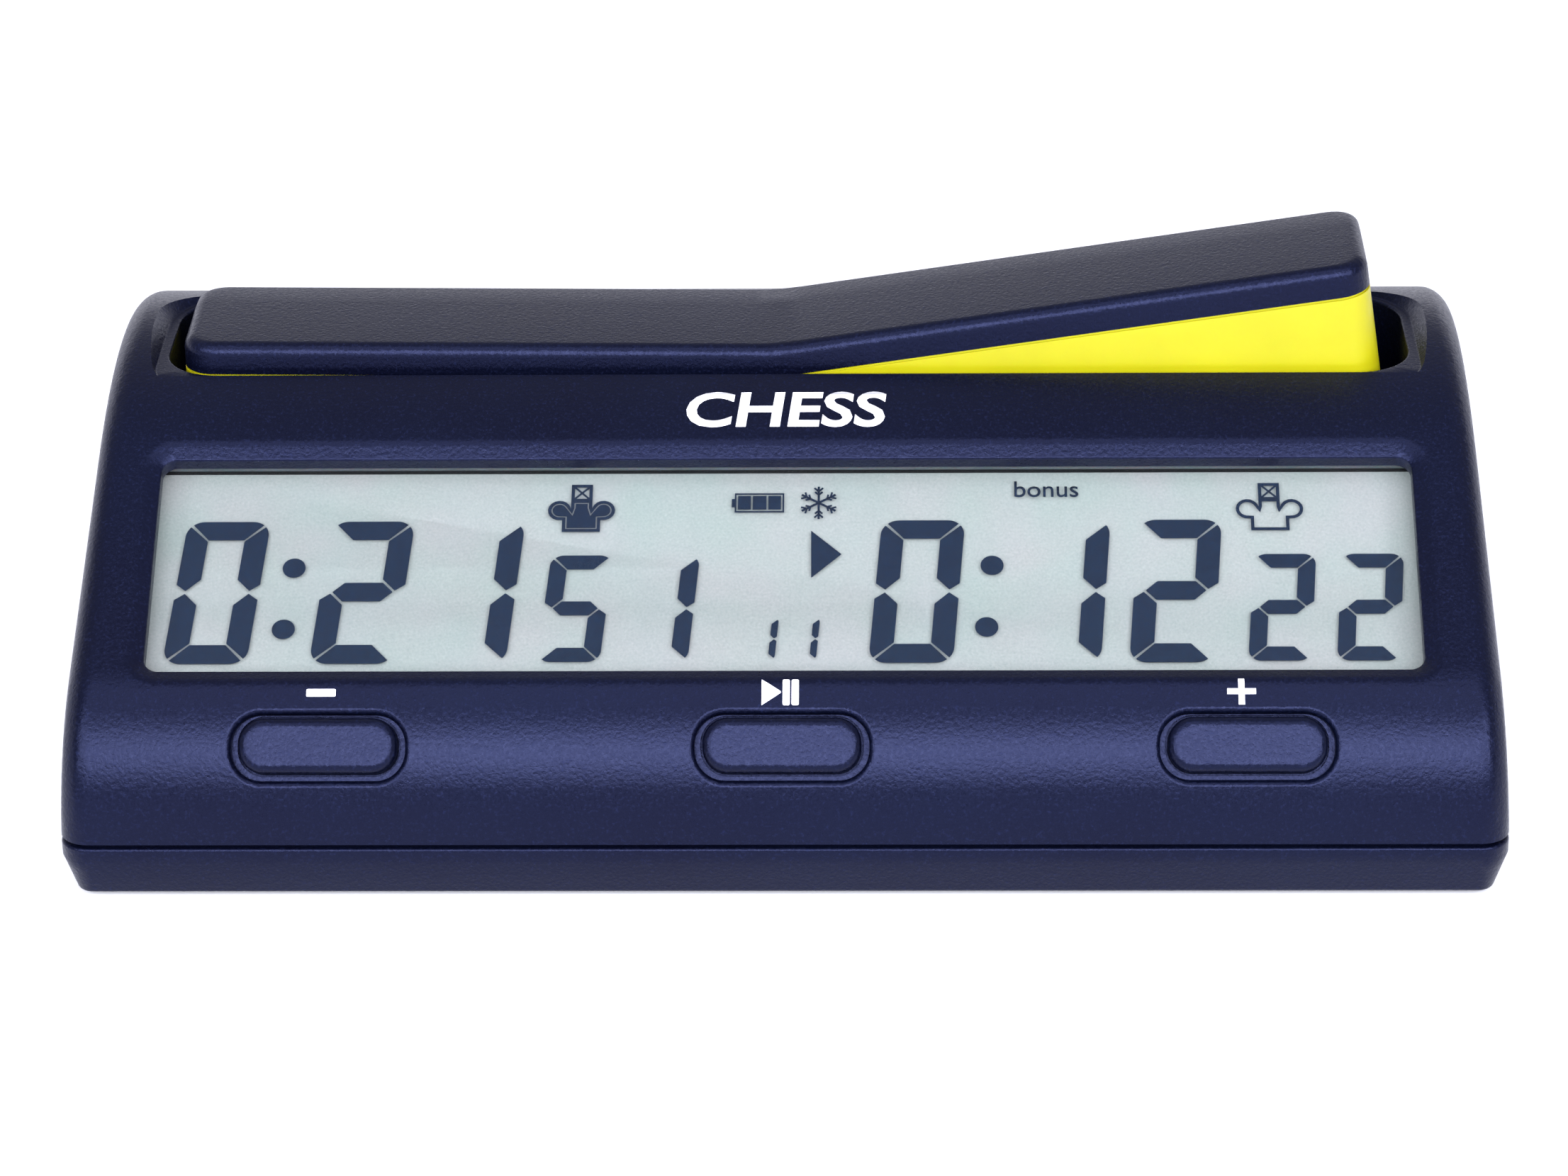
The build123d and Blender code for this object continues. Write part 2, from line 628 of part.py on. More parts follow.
def clock_chip():
    """Chip under a low round blob of black resin."""
    blob = pin(face_plane, 8, -2, board_far, board_far + 1.6, 6.5)
    return fillet(blob.edges().sort_by(Axis.Z)[0], 1.3)


def quartz_crystal():
    can = face_plane * Pos(24, -3, -board_far - 1.3) * Rot(0, 90, 0) * Cylinder(1.1, 6)
    leads = face_plane * Pos(20.1, -3, -board_far - 0.9) * Box(2.0, 1.2, 1.8)
    return can + leads


def board_capacitors():
    cans = []
    for x in (-12.0, -20.0):
        can = pin(face_plane, x, -6, board_far, board_far + 7, 2.5)
        cans.append(fillet(can.edges().sort_by(Axis.Z)[0], 0.4))
    return Compound(children=cans)


# ---------------------------------------------------------------- rocker's axle, stops and switches
def pivot_axle():
    length = well_depth + 2 * tub_wall + 2.6
    axle = Rot(90, 0, 0) * Cylinder(pivot_radius, length)
    axle = chamfer(axle.edges(), 0.3)
    return Pos(0, well_y, pivot_z) * axle


def pivot_washers():
    washers = []
    for side in (-1, 1):
        middle = well_y + side * (well_depth / 2 - 0.4)
        washer = Rot(90, 0, 0) * (Cylinder(3.2, 0.8) - Cylinder(pivot_radius + 0.02, 2))
        washers.append(Pos(0, middle, pivot_z) * washer)
    return Compound(children=washers)


def stop_pads():
    pads = []
    for side in (-1, 1):
        near, far = sorted((side * 69.8, side * 74.9))
        pads.append(block((near, far), (well_y - 5.6, well_y + 5.6), (stop_post_top, stop_post_top + stop_pad_thickness)))
    return Compound(children=pads)


def switch_board():
    board = block((-24, 24), (well_y - 7, well_y + 7), (switch_board_top - 1.2, switch_board_top))
    for side in (-1, 1):
        board -= post(side * switch_board_screw_x, well_y, (20, 24), 1.1)
    return board


def switch_board_screws():
    screws = []
    under = switch_board_top - 1.2
    for side in (-1, 1):
        x = side * switch_board_screw_x
        screws.append(post(x, well_y, (under, tub_floor - 0.4), 1.0) + post(x, well_y, (under - 1, under), 1.8))
    return Compound(children=screws)


def rocker_switches():
    switches = []
    for side in (-1, 1):
        x = side * switch_x
        switch = block((x - 3, x + 3), (well_y - 3, well_y + 3), (switch_board_top, switch_top))
        switches.append(switch + post(x, well_y, (switch_top, plunger_top), 1.6))
    return Compound(children=switches)


# ---------------------------------------------------------------- battery pieces
def battery_cells():
    cells = []
    for side in (-1, 1):
        y = bay_y + side * cell_pitch / 2
        can = Rot(0, 90, 0) * Cylinder(cell_radius, cell_length - 1.4)
        can = fillet(can.edges(), 0.6)
        nub = Rot(0, 90, 0) * Cylinder(2.7, 1.6)
        can = can + Pos(side * (cell_length / 2 - 0.7), 0, 0) * nub
        cells.append(Pos(0, y, cell_z) * can)
    return Compound(children=cells)


def contact_plates():
    """Sprung sheet plates at the bay's ends; two of them have solder tags through the wall."""
    plates = []
    for y_side in (-1, 1):
        y = bay_y + y_side * cell_pitch / 2
        plate = block((-28.4, -28.0), (y - 5, y + 5), (5, 15.5))
        plate += block((-31.2, -28.0), (y - 1.8, y + 1.8), (13.2, 13.7))
        plates.append(plate)
    plates.append(block((28.0, 28.4), (bay_y - cell_pitch / 2 - 5, bay_y + cell_pitch / 2 + 5), (5, 13.5)))
    return Compound(children=plates)


def battery_springs():
    """Conical return coils that press on the flat end of each cell."""
    coils = []
    for side in (-1, 1):
        y = bay_y + side * cell_pitch / 2
        path = Helix(pitch=0.95, height=1.9, radius=4.2, cone_angle=8)
        start = Plane(origin=path @ 0, z_dir=path % 0)
        coil = sweep(start * Circle(0.3), path=path)
        coils.append(Pos(-side * 27.65, y, cell_z) * Rot(0, side * 90, 0) * coil)
    return Compound(children=coils)


def battery_leads():
    """Two leads from the solder tags, through the case, up to the back of the main board."""
    leads = []
    for y_side, x, lift in ((-1, -40.0, 0.0), (1, -45.0, 2.6)):
        y = bay_y + y_side * cell_pitch / 2
        end = face_plane.from_local_coords(Vector(x, -1.0, -board_far))
        before = face_plane.from_local_coords(Vector(x, -1.0, -board_far - 8))
        route = [(-31.4, y, 13.45), (x + 1.5 - lift, y, 13.45), (x, y - 8, 13.45), (x, -6, 14.5),
                 (before.X, before.Y, before.Z), (end.X, end.Y, end.Z)]
        leads.append(wire_run(route, 2.0, 0.7))
    return leads


# ---------------------------------------------------------------- buzzer, power switch, fasteners, feet
def buzzer():
    body = post(*buzzer_spot, (tray_floor, tray_floor + buzzer_height), buzzer_radius)
    body = fillet(body.edges().sort_by(Axis.Z)[-1], 0.8)
    return body - post(*buzzer_spot, (tray_floor - 1, tray_floor + 0.8), 6.5)


def buzzer_leads():
    leads = []
    for x in (-60.0, -56.0):
        end = face_plane.from_local_coords(Vector(x, -4.0, -board_far))
        before = face_plane.from_local_coords(Vector(x, -4.0, -board_far - 7))
        route = [(x, buzzer_spot[1], tray_floor + buzzer_height), (x, buzzer_spot[1], 13),
                 (x, buzzer_spot[1] - 9, 16), (before.X, before.Y, before.Z), (end.X, end.Y, end.Z)]
        leads.append(wire_run(route, 2.0, 0.6))
    return leads


def power_switch_body():
    x, y = power_spot
    body = block((x - 7.5, x + 7.5), (y - 3.5, y + 3.5), (tray_floor, tray_floor + 5))
    body -= block((x - 3.9, x + 3.9), (y - 1.5, y + 1.5), (0, tray_floor + 3))
    for side in (-1, 1):
        body -= post(x + side * power_screw_pitch, y, (0, tray_floor + 6), 0.9)
    return body


def power_switch_knob():
    x, y = power_spot
    x -= 1.5
    knob = block((x - 2.0, x + 2.0), (y - 1.1, y + 1.1), (foot_height + 0.4, tray_floor + 2.6))
    for rib in (-1.2, 0.0, 1.2):
        knob -= block((x + rib - 0.25, x + rib + 0.25), (y - 2, y + 2), (0, foot_height + 0.7))
    return knob


def power_switch_screws():
    x, y = power_spot
    screws = []
    for side in (-1, 1):
        screws.append(post(x + side * power_screw_pitch, y, (tray_floor - 0.8, tray_floor + 5), 0.9)
                      + post(x + side * power_screw_pitch, y, (tray_floor + 5, tray_floor + 6), 1.6))
    return Compound(children=screws)


def housing_screws():
    screws = []
    for x, y in screw_spots:
        screw = post(x, y, (screw_head_top, screw_tip), screw_radius)
        head = post(x, y, (screw_head_top - 1.8, screw_head_top), screw_head_radius)
        head = fillet(head.edges().sort_by(Axis.Z)[0], 0.6)
        head -= block((x - 0.4, x + 0.4), (y - 1.8, y + 1.8), (0, screw_head_top - 1.0))
        head -= block((x - 1.8, x + 1.8), (y - 0.4, y + 0.4), (0, screw_head_top - 1.0))
        screws.append(screw + head)
    return Compound(children=screws)


def rubber_feet():
    feet = []
    for x, y in foot_spots:
        foot = post(x, y, (0, foot_top), foot_radius)
        feet.append(fillet(foot.edges().sort_by(Axis.Z)[0], 0.4))
    return Compound(children=feet)


# ---------------------------------------------------------------- write every piece
def as_compound(shapes):
    return Compound(children=list(shapes))


pieces = {
    "upper_housing": upper_housing(),
    "base_tray": base_tray(),
    "battery_door": battery_door(),
    "rocker_cap": rocker_cap(),
    "rocker_skirt": rocker_skirt(),
    "rocker_screws": rocker_screws(),
    "pivot_axle": pivot_axle(),
    "pivot_washers": pivot_washers(),
    "stop_pads": stop_pads(),
    "switch_board": switch_board(),
    "switch_board_screws": switch_board_screws(),
    "rocker_switches": rocker_switches(),
    "minus_key": key_cap(-key_pitch),
    "play_key": key_cap(0.0),
    "plus_key": key_cap(key_pitch),
    "minus_pill": key_pill(-key_pitch),
    "play_pill": key_pill(0.0),
    "plus_pill": key_pill(key_pitch),
    "keypad_mat": keypad_mat(),
    "keypad_board": keypad_board(),
    "keypad_screws": keypad_screws(),
    "lcd_front_polariser": lcd_front_polariser(),
    "lcd_glass": lcd_glass(),
    "lcd_reflector": lcd_reflector(),
    "lcd_frame": lcd_frame(),
    "zebra_strip": zebra_strip(),
    "main_board": main_board(),
    "board_screws": board_screws(),
    "clock_chip": clock_chip(),
    "quartz_crystal": quartz_crystal(),
    "board_capacitors": board_capacitors(),
    "battery_cells": battery_cells(),
    "contact_plates": contact_plates(),
    "battery_springs": battery_springs(),
    "buzzer": buzzer(),
    "power_switch_body": power_switch_body(),
    "power_switch_knob": power_switch_knob(),
    "power_switch_screws": power_switch_screws(),
    "housing_screws": housing_screws(),
    "rubber_feet": rubber_feet(),
}
for name, lead in zip(("battery_lead_minus", "battery_lead_plus"), battery_leads()):
    pieces[name] = lead
pieces["buzzer_leads"] = as_compound(buzzer_leads())

os.makedirs("parts", exist_ok=True)
for name, shape in pieces.items():
    export_step(shape, f"parts/{name}.step")
print(len(pieces), "pieces written")
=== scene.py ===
import json
import math

import bmesh
import bpy
from mathutils import Matrix, Vector
from mathutils.bvhtree import BVHTree
from mathutils.geometry import tessellate_polygon


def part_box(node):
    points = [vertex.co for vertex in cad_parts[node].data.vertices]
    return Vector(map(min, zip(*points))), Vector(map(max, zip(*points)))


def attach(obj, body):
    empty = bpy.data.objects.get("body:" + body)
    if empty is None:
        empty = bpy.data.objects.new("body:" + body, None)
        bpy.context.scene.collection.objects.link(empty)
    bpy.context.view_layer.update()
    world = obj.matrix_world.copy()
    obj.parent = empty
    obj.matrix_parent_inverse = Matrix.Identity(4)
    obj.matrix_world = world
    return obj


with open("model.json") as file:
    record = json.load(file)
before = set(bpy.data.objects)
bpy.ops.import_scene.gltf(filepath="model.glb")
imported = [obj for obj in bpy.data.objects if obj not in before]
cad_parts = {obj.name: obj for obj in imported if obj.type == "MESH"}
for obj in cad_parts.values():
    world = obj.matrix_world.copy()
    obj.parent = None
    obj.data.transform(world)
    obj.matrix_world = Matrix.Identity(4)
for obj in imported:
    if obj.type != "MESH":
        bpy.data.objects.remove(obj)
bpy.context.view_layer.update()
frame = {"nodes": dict(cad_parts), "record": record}        # nodes and the imported record
nodes = frame["nodes"]
mm = 0.001
print("frame loaded:", len(nodes), "nodes")


# small helpers for nodes and colours
def toLinear(hexColour):  # "#rrggbb" in sRGB to linear RGBA
    parts = [int(hexColour[i:i + 2], 16) / 255 for i in (1, 3, 5)]
    linear = [c / 12.92 if c <= 0.04045 else ((c + 0.055) / 1.055) ** 2.4 for c in parts]
    return linear + [1.0]


def pickSocket(sockets, key):  # by number, identifier or name
    if isinstance(key, int):
        return sockets[key]
    for socket in sockets:
        if socket.identifier == key:
            return socket
    return sockets.get(key)


def addNode(tree, kind, settings=None, links=None):
    node = tree.nodes.new(kind)
    for key, value in (settings or {}).items():
        if not isinstance(key, int) and hasattr(node, key):
            setattr(node, key, value)
        else:
            pickSocket(node.inputs, key).default_value = value
    for key, source in (links or {}).items():
        tree.links.new(source, pickSocket(node.inputs, key))
    return node


def newMaterial(name):
    material = bpy.data.materials.new(name)
    material.use_nodes = True
    tree = material.node_tree
    tree.nodes.clear()
    output = addNode(tree, "ShaderNodeOutputMaterial")
    where = addNode(tree, "ShaderNodeTexCoord")
    return material, tree, output, where.outputs["Object"]


noiseRange = (0.3, 0.7)   # where most of a noise texture's values lie
wholeRange = (0.0, 1.0)


def ramp(tree, source, colours, places=noiseRange):  # two-stop colour ramp between sRGB colours
    node = addNode(tree, "ShaderNodeValToRGB", links={"Fac": source})
    for element, place, colour in zip(node.color_ramp.elements, places, colours):
        element.position, element.color = place, toLinear(colour)
    return node.outputs["Color"]


def noise(tree, where, size, detail=2.0, roughness=0.5):  # features about size mm wide
    node = addNode(tree, "ShaderNodeTexNoise",
                   {"Scale": 1 / (size * mm), "Detail": detail, "Roughness": roughness}, {"Vector": where})
    return node.outputs["Fac"]


def spread(tree, source, values, taken=noiseRange):  # map a range of a texture to a range of values
    node = addNode(tree, "ShaderNodeMapRange", {"From Min": taken[0], "From Max": taken[1],
                                                "To Min": values[0], "To Max": values[1]}, {"Value": source})
    return node.outputs[0]


def bump(tree, height, strength, depth):  # depth in mm
    node = addNode(tree, "ShaderNodeBump", {"Strength": strength, "Distance": depth * mm}, {"Height": height})
    return node.outputs[0]


def maths(tree, operation, first, second=None):  # second: a number or an output
    node = addNode(tree, "ShaderNodeMath", {"operation": operation}, {0: first})
    if isinstance(second, float):
        node.inputs[1].default_value = second
    elif second is not None:
        tree.links.new(second, node.inputs[1])
    return node.outputs[0]


def mix(tree, factor, first, second):  # second: a colour or an output
    isColour = isinstance(second, list)
    node = addNode(tree, "ShaderNodeMix", {"data_type": "RGBA", **({"B_Color": second} if isColour else {})},
                   {"Factor_Float": factor, "A_Color": first, **({} if isColour else {"B_Color": second})})
    return node.outputs[2]


def coat(tree, output, settings, links):  # principled surface
    skin = addNode(tree, "ShaderNodeBsdfPrincipled", settings, links)
    tree.links.new(skin.outputs[0], output.inputs["Surface"])


# camera, in front of the clock and above it
cameraSpot = {
    "place": (13.6, -560.7, 300.3),   # mm
    "down": 26.54, "aside": -1.44, "roll": -0.769,   # degrees
    "lens": 116.74,                   # mm on a 36 mm sensor
}


def makeCamera(spot):
    data = bpy.data.cameras.new("clockCamera")
    data.sensor_width = 36.0
    data.lens = spot["lens"]
    data.clip_start, data.clip_end = 0.01, 20.0
    camera = bpy.data.objects.new("clockCamera", data)
    bpy.context.scene.collection.objects.link(camera)
    turn = Matrix.Rotation(-math.radians(spot["aside"]), 4, "Z")
    turn @= Matrix.Rotation(math.pi / 2 - math.radians(spot["down"]), 4, "X")
    turn @= Matrix.Rotation(math.radians(spot["roll"]), 4, "Z")
    camera.matrix_world = Matrix.Translation(Vector(spot["place"]) * mm) @ turn
    bpy.context.scene.camera = camera


makeCamera(cameraSpot)
print("camera set")

# studio: pale floor, bright room behind, three soft boxes in front and one above
studio = {
    "floor": ("#e6e6ea", "#ececee"), "floorGlow": 0.20, "floorHalf": 3.0,
    "floorCloud": 3.0,                     # blotches per metre
    "roomTurn": (-0.45, 0.15),             # where the front of the room gives way to the back of it
    # room brightness by height above the horizon: (height 0..1, grey), behind the clock and before it
    "roomBehind": ((0.0, 2.2), (0.22, 1.1), (0.46, 0.40), (0.85, 0.72), (1.0, 0.55)),
    "roomBefore": ((0.0, 0.04), (0.30, 0.14), (0.80, 0.70), (1.0, 0.55)),
    "roomTint": "#f4f4ff",
    "softBoxes": {
        # name: (turn from straight in front, height above the horizon, distance m, wide m, high m, watts)
        "frontBox": (0.0, 30.0, 1.2, 0.90, 0.56, 21.0),
        "leftBox": (-42.0, 30.0, 1.1, 0.34, 0.56, 6.0),
        "rightBox": (42.0, 30.0, 1.1, 0.34, 0.56, 8.0),
        "topBox": (0.0, 72.0, 1.2, 1.1, 0.36, 4.0),
    },
    "boxTint": "#f2f4ff",
}


def greyStops(tree, source, stops, tint):  # brightness by height, from a list of stops
    node = addNode(tree, "ShaderNodeValToRGB", links={"Fac": source})
    elements = node.color_ramp.elements
    while len(elements) < len(stops):
        elements.new(0.5)
    for element, (place, value) in zip(elements, stops):
        element.position = place
        element.color = [value * part for part in tint[:3]] + [1.0]
    return node.outputs["Color"]


def makeStudio(setup):
    scene = bpy.context.scene
    scene.view_settings.view_transform = "Standard"
    world = bpy.data.worlds.new("studioRoom")
    scene.world = world
    world.use_nodes = True
    tree = world.node_tree
    tree.nodes.clear()
    where = addNode(tree, "ShaderNodeTexCoord")
    split = addNode(tree, "ShaderNodeSeparateXYZ", links={"Vector": where.outputs["Generated"]})
    tint = toLinear(setup["roomTint"])
    behind = greyStops(tree, split.outputs["Z"], setup["roomBehind"], tint)
    before = greyStops(tree, split.outputs["Z"], setup["roomBefore"], tint)
    room = mix(tree, spread(tree, split.outputs["Y"], wholeRange, setup["roomTurn"]), before, behind)
    light = addNode(tree, "ShaderNodeBackground", links={"Color": room})
    addNode(tree, "ShaderNodeOutputWorld", links={"Surface": light.outputs[0]})

    half = setup["floorHalf"]
    mesh = bpy.data.meshes.new("studioFloor")
    corners = [(-half, -half, 0), (half, -half, 0), (half, half, 0), (-half, half, 0)]
    mesh.from_pydata(corners, [], [(0, 1, 2, 3)])
    floor = bpy.data.objects.new("studioFloor", mesh)
    scene.collection.objects.link(floor)
    material, tree, output, where = newMaterial("mattWhiteFloor")   # matt white light table, faintly uneven
    cloud = addNode(tree, "ShaderNodeTexNoise", {"Scale": setup["floorCloud"], "Detail": 2.0}, {"Vector": where})
    tone = ramp(tree, cloud.outputs["Fac"], setup["floor"])
    coat(tree, output, {"Roughness": 0.9, "Specular IOR Level": 0.2, "Emission Strength": setup["floorGlow"]},
         {"Base Color": tone, "Emission Color": tone})
    mesh.materials.append(material)

    for name, (turn, height, distance, wide, high, watts) in setup["softBoxes"].items():
        data = bpy.data.lights.new(name, "AREA")
        data.shape = "RECTANGLE"
        data.size, data.size_y = wide, high
        data.energy = watts
        data.color = toLinear(setup["boxTint"])[:3]
        box = bpy.data.objects.new(name, data)
        scene.collection.objects.link(box)
        turn, height = math.radians(turn), math.radians(height)
        spot = Vector((math.sin(turn) * math.cos(height), -math.cos(turn) * math.cos(height),
                       math.sin(height))) * distance
        box.matrix_world = Matrix.Translation(spot) @ spot.to_track_quat("Z", "Y").to_matrix().to_4x4()


makeStudio(studio)
print("studio lit")


# materials, one for each of the record's slots
navy = {
    "grain": 0.36, "grainRoughness": 0.65,   # mm; the real grain is near 0.1 mm, drawn wider so that it shows
    "pits": 0.55, "pitShare": 0.5, "flow": 22.0,
    "tones": ("#040512", "#050817"), "toneRange": (0.3, 0.75),
    "speck": "#141a36", "speckRange": (0.56, 0.74), "speckMost": 0.5,
    "rough": (0.26, 0.42), "strength": 0.8, "depth": 0.05,
    "shine": {"IOR": 1.53, "Specular IOR Level": 0.25, "Specular Tint": toLinear("#aab6ff")},
}


def navyAbs(spec):
    # ABS from a spark-eroded mould: deep navy with a fine grain that breaks highlights into lilac specks
    material, tree, output, where = newMaterial("navySparkErodedAbs")
    grain = noise(tree, where, spec["grain"], roughness=spec["grainRoughness"])
    pits = addNode(tree, "ShaderNodeTexVoronoi", {"Scale": 1 / (spec["pits"] * mm)}, {"Vector": where})
    tone = ramp(tree, noise(tree, where, spec["flow"]), spec["tones"], spec["toneRange"])
    speck = spread(tree, grain, (0.0, spec["speckMost"]), spec["speckRange"])
    height = addNode(tree, "ShaderNodeMath", {"operation": "MULTIPLY_ADD", 1: spec["pitShare"]},
                     {0: pits.outputs["Distance"], 2: grain})
    coat(tree, output, spec["shine"],
         {"Base Color": mix(tree, speck, tone, toLinear(spec["speck"])),
          "Roughness": spread(tree, grain, spec["rough"]),
          "Normal": bump(tree, height.outputs[0], spec["strength"], spec["depth"])})
    return material


yellow = {
    "flow": 14.0, "tones": ("#a49e07", "#aea80c"), "grain": 0.35, "strength": 0.25, "depth": 0.02,   # mm
    "shine": {"IOR": 1.53, "Roughness": 0.38, "Specular IOR Level": 0.35,
              "Subsurface Weight": 0.12, "Subsurface Scale": 1.2 * mm},
}


def yellowAbs(spec):
    # bright yellow ABS, semi-gloss moulded, lets a little light in at its edges
    material, tree, output, where = newMaterial("yellowGlossAbs")
    tone = ramp(tree, noise(tree, where, spec["flow"], 3.0), spec["tones"])
    grain = noise(tree, where, spec["grain"])
    coat(tree, output, spec["shine"],
         {"Base Color": tone, "Normal": bump(tree, grain, spec["strength"], spec["depth"])})
    return material


# plain moulded, poured and extruded finishes:
# colours, roughness range, mottle size mm, texture size mm, bump strength, specular, see-through depth mm
softFinishes = {
    "black_rubber": ("mouldedBlackRubber", "#121214", "#1b1b1e", 0.70, 0.88, 3.0, 0.35, 0.6, 0.35, 0.0),
    "carbon_rubber": ("carbonFilledRubber", "#17171a", "#232327", 0.78, 0.92, 1.2, 0.20, 0.5, 0.3, 0.0),
    "grey_silicone": ("greySiliconeRubber", "#8a8d92", "#979aa0", 0.42, 0.58, 4.0, 0.50, 0.3, 0.4, 0.6),
    "natural_nylon": ("naturalNylon", "#e2dfd0", "#ebe8dc", 0.35, 0.48, 2.0, 0.30, 0.2, 0.5, 0.8),
    "black_plastic": ("blackMouldedAbs", "#111113", "#1a1a1d", 0.38, 0.54, 6.0, 0.30, 0.4, 0.4, 0.0),
    "white_plastic": ("whiteMouldedPolyacetal", "#e4e4e0", "#efefec", 0.30, 0.42, 5.0, 0.40, 0.2, 0.5, 0.5),
    "black_resin": ("pouredBlackEpoxy", "#08080a", "#101014", 0.10, 0.22, 3.0, 1.50, 0.3, 0.5, 0.0),
    "blue_sleeve": ("blueShrinkSleeve", "#0c2a78", "#123690", 0.20, 0.32, 2.5, 0.80, 0.3, 0.5, 0.0),
    "red_wire": ("redVinylInsulation", "#a8140f", "#bf1b15", 0.28, 0.40, 2.0, 0.60, 0.3, 0.5, 0.3),
    "black_wire": ("blackVinylInsulation", "#101012", "#19191c", 0.28, 0.40, 2.0, 0.60, 0.3, 0.5, 0.0),
}


def softFinish(name, low, high, smooth, dull, mottle, texture, strength, gloss, depth):
    material, tree, output, where = newMaterial(name)
    tone = ramp(tree, noise(tree, where, mottle, 3.0), (low, high))
    grain = noise(tree, where, texture)
    coat(tree, output,
         {"IOR": 1.5, "Specular IOR Level": gloss, "Subsurface Weight": 0.3 if depth else 0.0,
          "Subsurface Scale": depth * mm},
         {"Base Color": tone, "Roughness": spread(tree, grain, (smooth, dull)),
          "Normal": bump(tree, grain, strength, 0.03)})
    return material


# metals: colours, roughness range, blotch size mm, scratch size mm across and along
metalFinishes = {
    "zinc_steel": ("brightZincPlatedSteel", "#b9bec6", "#cfd3d8", 0.26, 0.44, 1.6, 0.12, 0.9),
    "polished_steel": ("groundSteelRod", "#c3c4c6", "#d4d5d6", 0.14, 0.26, 5.0, 0.06, 3.0),
    "nickel_plate": ("nickelPlatedSpringSteel", "#c4bdae", "#d6d0c4", 0.18, 0.32, 3.0, 0.10, 2.0),
}


def metalFinish(name, low, high, smooth, dull, blotch, across, along):
    material, tree, output, where = newMaterial(name)
    tone = ramp(tree, noise(tree, where, blotch, 3.0), (low, high))
    stretch = addNode(tree, "ShaderNodeMapping",
                      {"Scale": (1 / (across * mm), 1 / (along * mm), 1 / (across * mm))}, {"Vector": where})
    marks = addNode(tree, "ShaderNodeTexNoise", {"Scale": 1.0, "Detail": 2.0}, {"Vector": stretch.outputs[0]})
    coat(tree, output, {"Metallic": 1.0},
         {"Base Color": tone, "Roughness": spread(tree, marks.outputs["Fac"], (smooth, dull)),
          "Normal": bump(tree, marks.outputs["Fac"], 0.2, 0.01)})
    return material


laminate = {
    "pitch": 6.0, "mask": 3.0, "weave": 0.4, "weaveShare": 0.15,   # mm; tracks show darker under the mask
    "tracks": {"Mortar Size": 0.06, "Brick Width": 0.9, "Row Height": 0.32, "Color1": toLinear("#0f5a2a"),
               "Color2": toLinear("#11622f"), "Mortar": toLinear("#0a4521")},
    "rough": (0.25, 0.42), "strength": 0.4, "depth": 0.03,
}


def greenLaminate(spec):
    # glass-epoxy board under green solder mask, with its weave as a faint check
    material, tree, output, where = newMaterial("greenMaskedGlassEpoxy")
    tracks = addNode(tree, "ShaderNodeTexBrick", {"Scale": 1 / (spec["pitch"] * mm), **spec["tracks"]},
                     {"Vector": where})
    weave = addNode(tree, "ShaderNodeTexChecker", {"Scale": 1 / (spec["weave"] * mm)}, {"Vector": where})
    tone = addNode(tree, "ShaderNodeMix",
                   {"data_type": "RGBA", "blend_type": "MULTIPLY", "Factor_Float": spec["weaveShare"]},
                   {"A_Color": tracks.outputs["Color"], "B_Color": weave.outputs["Color"]})
    mask = noise(tree, where, spec["mask"], 3.0)
    coat(tree, output, {"IOR": 1.55},
         {"Base Color": tone.outputs[2], "Roughness": spread(tree, mask, spec["rough"], wholeRange),
          "Normal": bump(tree, tracks.outputs["Fac"], spec["strength"], spec["depth"])})
    return material


cells = {
    "bandStart": 11.0, "bandEnd": 21.5, "sleeveEnd": 24.2, "middle": 20.0, "scuff": 1.5,   # mm
    "charcoal": ("#1b1c20", "#26272c"), "copper": ("#a4622c", "#b87436"), "steel": ("#b4b5b8", "#c8c9cb"),
    "rough": (0.18, 0.32),
}


def cellWrap(spec):
    # alkaline cell: charcoal film sleeve, copper band at the positive end, bare steel at the ends.
    # The two cells lie opposite ways round, either side of the middle.
    material, tree, output, where = newMaterial("printedShrinkSleeve")
    split = addNode(tree, "ShaderNodeSeparateXYZ", links={"Vector": where})
    turn = maths(tree, "SIGN", maths(tree, "SUBTRACT", split.outputs["Y"], spec["middle"] * mm))
    along = maths(tree, "MULTIPLY", split.outputs["X"], turn)
    started = maths(tree, "GREATER_THAN", along, spec["bandStart"] * mm)
    ended = maths(tree, "LESS_THAN", along, spec["bandEnd"] * mm)
    copperBand = maths(tree, "MULTIPLY", started, ended)
    bare = maths(tree, "GREATER_THAN", maths(tree, "ABSOLUTE", split.outputs["X"]), spec["sleeveEnd"] * mm)
    scuff = noise(tree, where, spec["scuff"], 3.0)
    dark, copper, steel = [ramp(tree, scuff, spec[key]) for key in ("charcoal", "copper", "steel")]
    tone = mix(tree, bare, mix(tree, copperBand, dark, copper), steel)
    coat(tree, output, {}, {"Base Color": tone, "Metallic": maths(tree, "MAXIMUM", copperBand, bare),
                            "Roughness": spread(tree, scuff, spec["rough"], wholeRange)})
    return material


# clear layers of the display: tints, IOR, roughness range, texture size mm
# The glass lies against the film, so its own reflection is weak. The anti-glare film scatters its gloss.
clearLayers = {
    "display_glass": ("clearFloatGlass", ("#fafffd", "#ffffff"), 1.02, 0.05, 0.08, 8.0),
    "polariser_film": ("antiGlarePolariser", ("#f4f8f8", "#ffffff"), 1.25, 0.30, 0.45, 0.3),
}


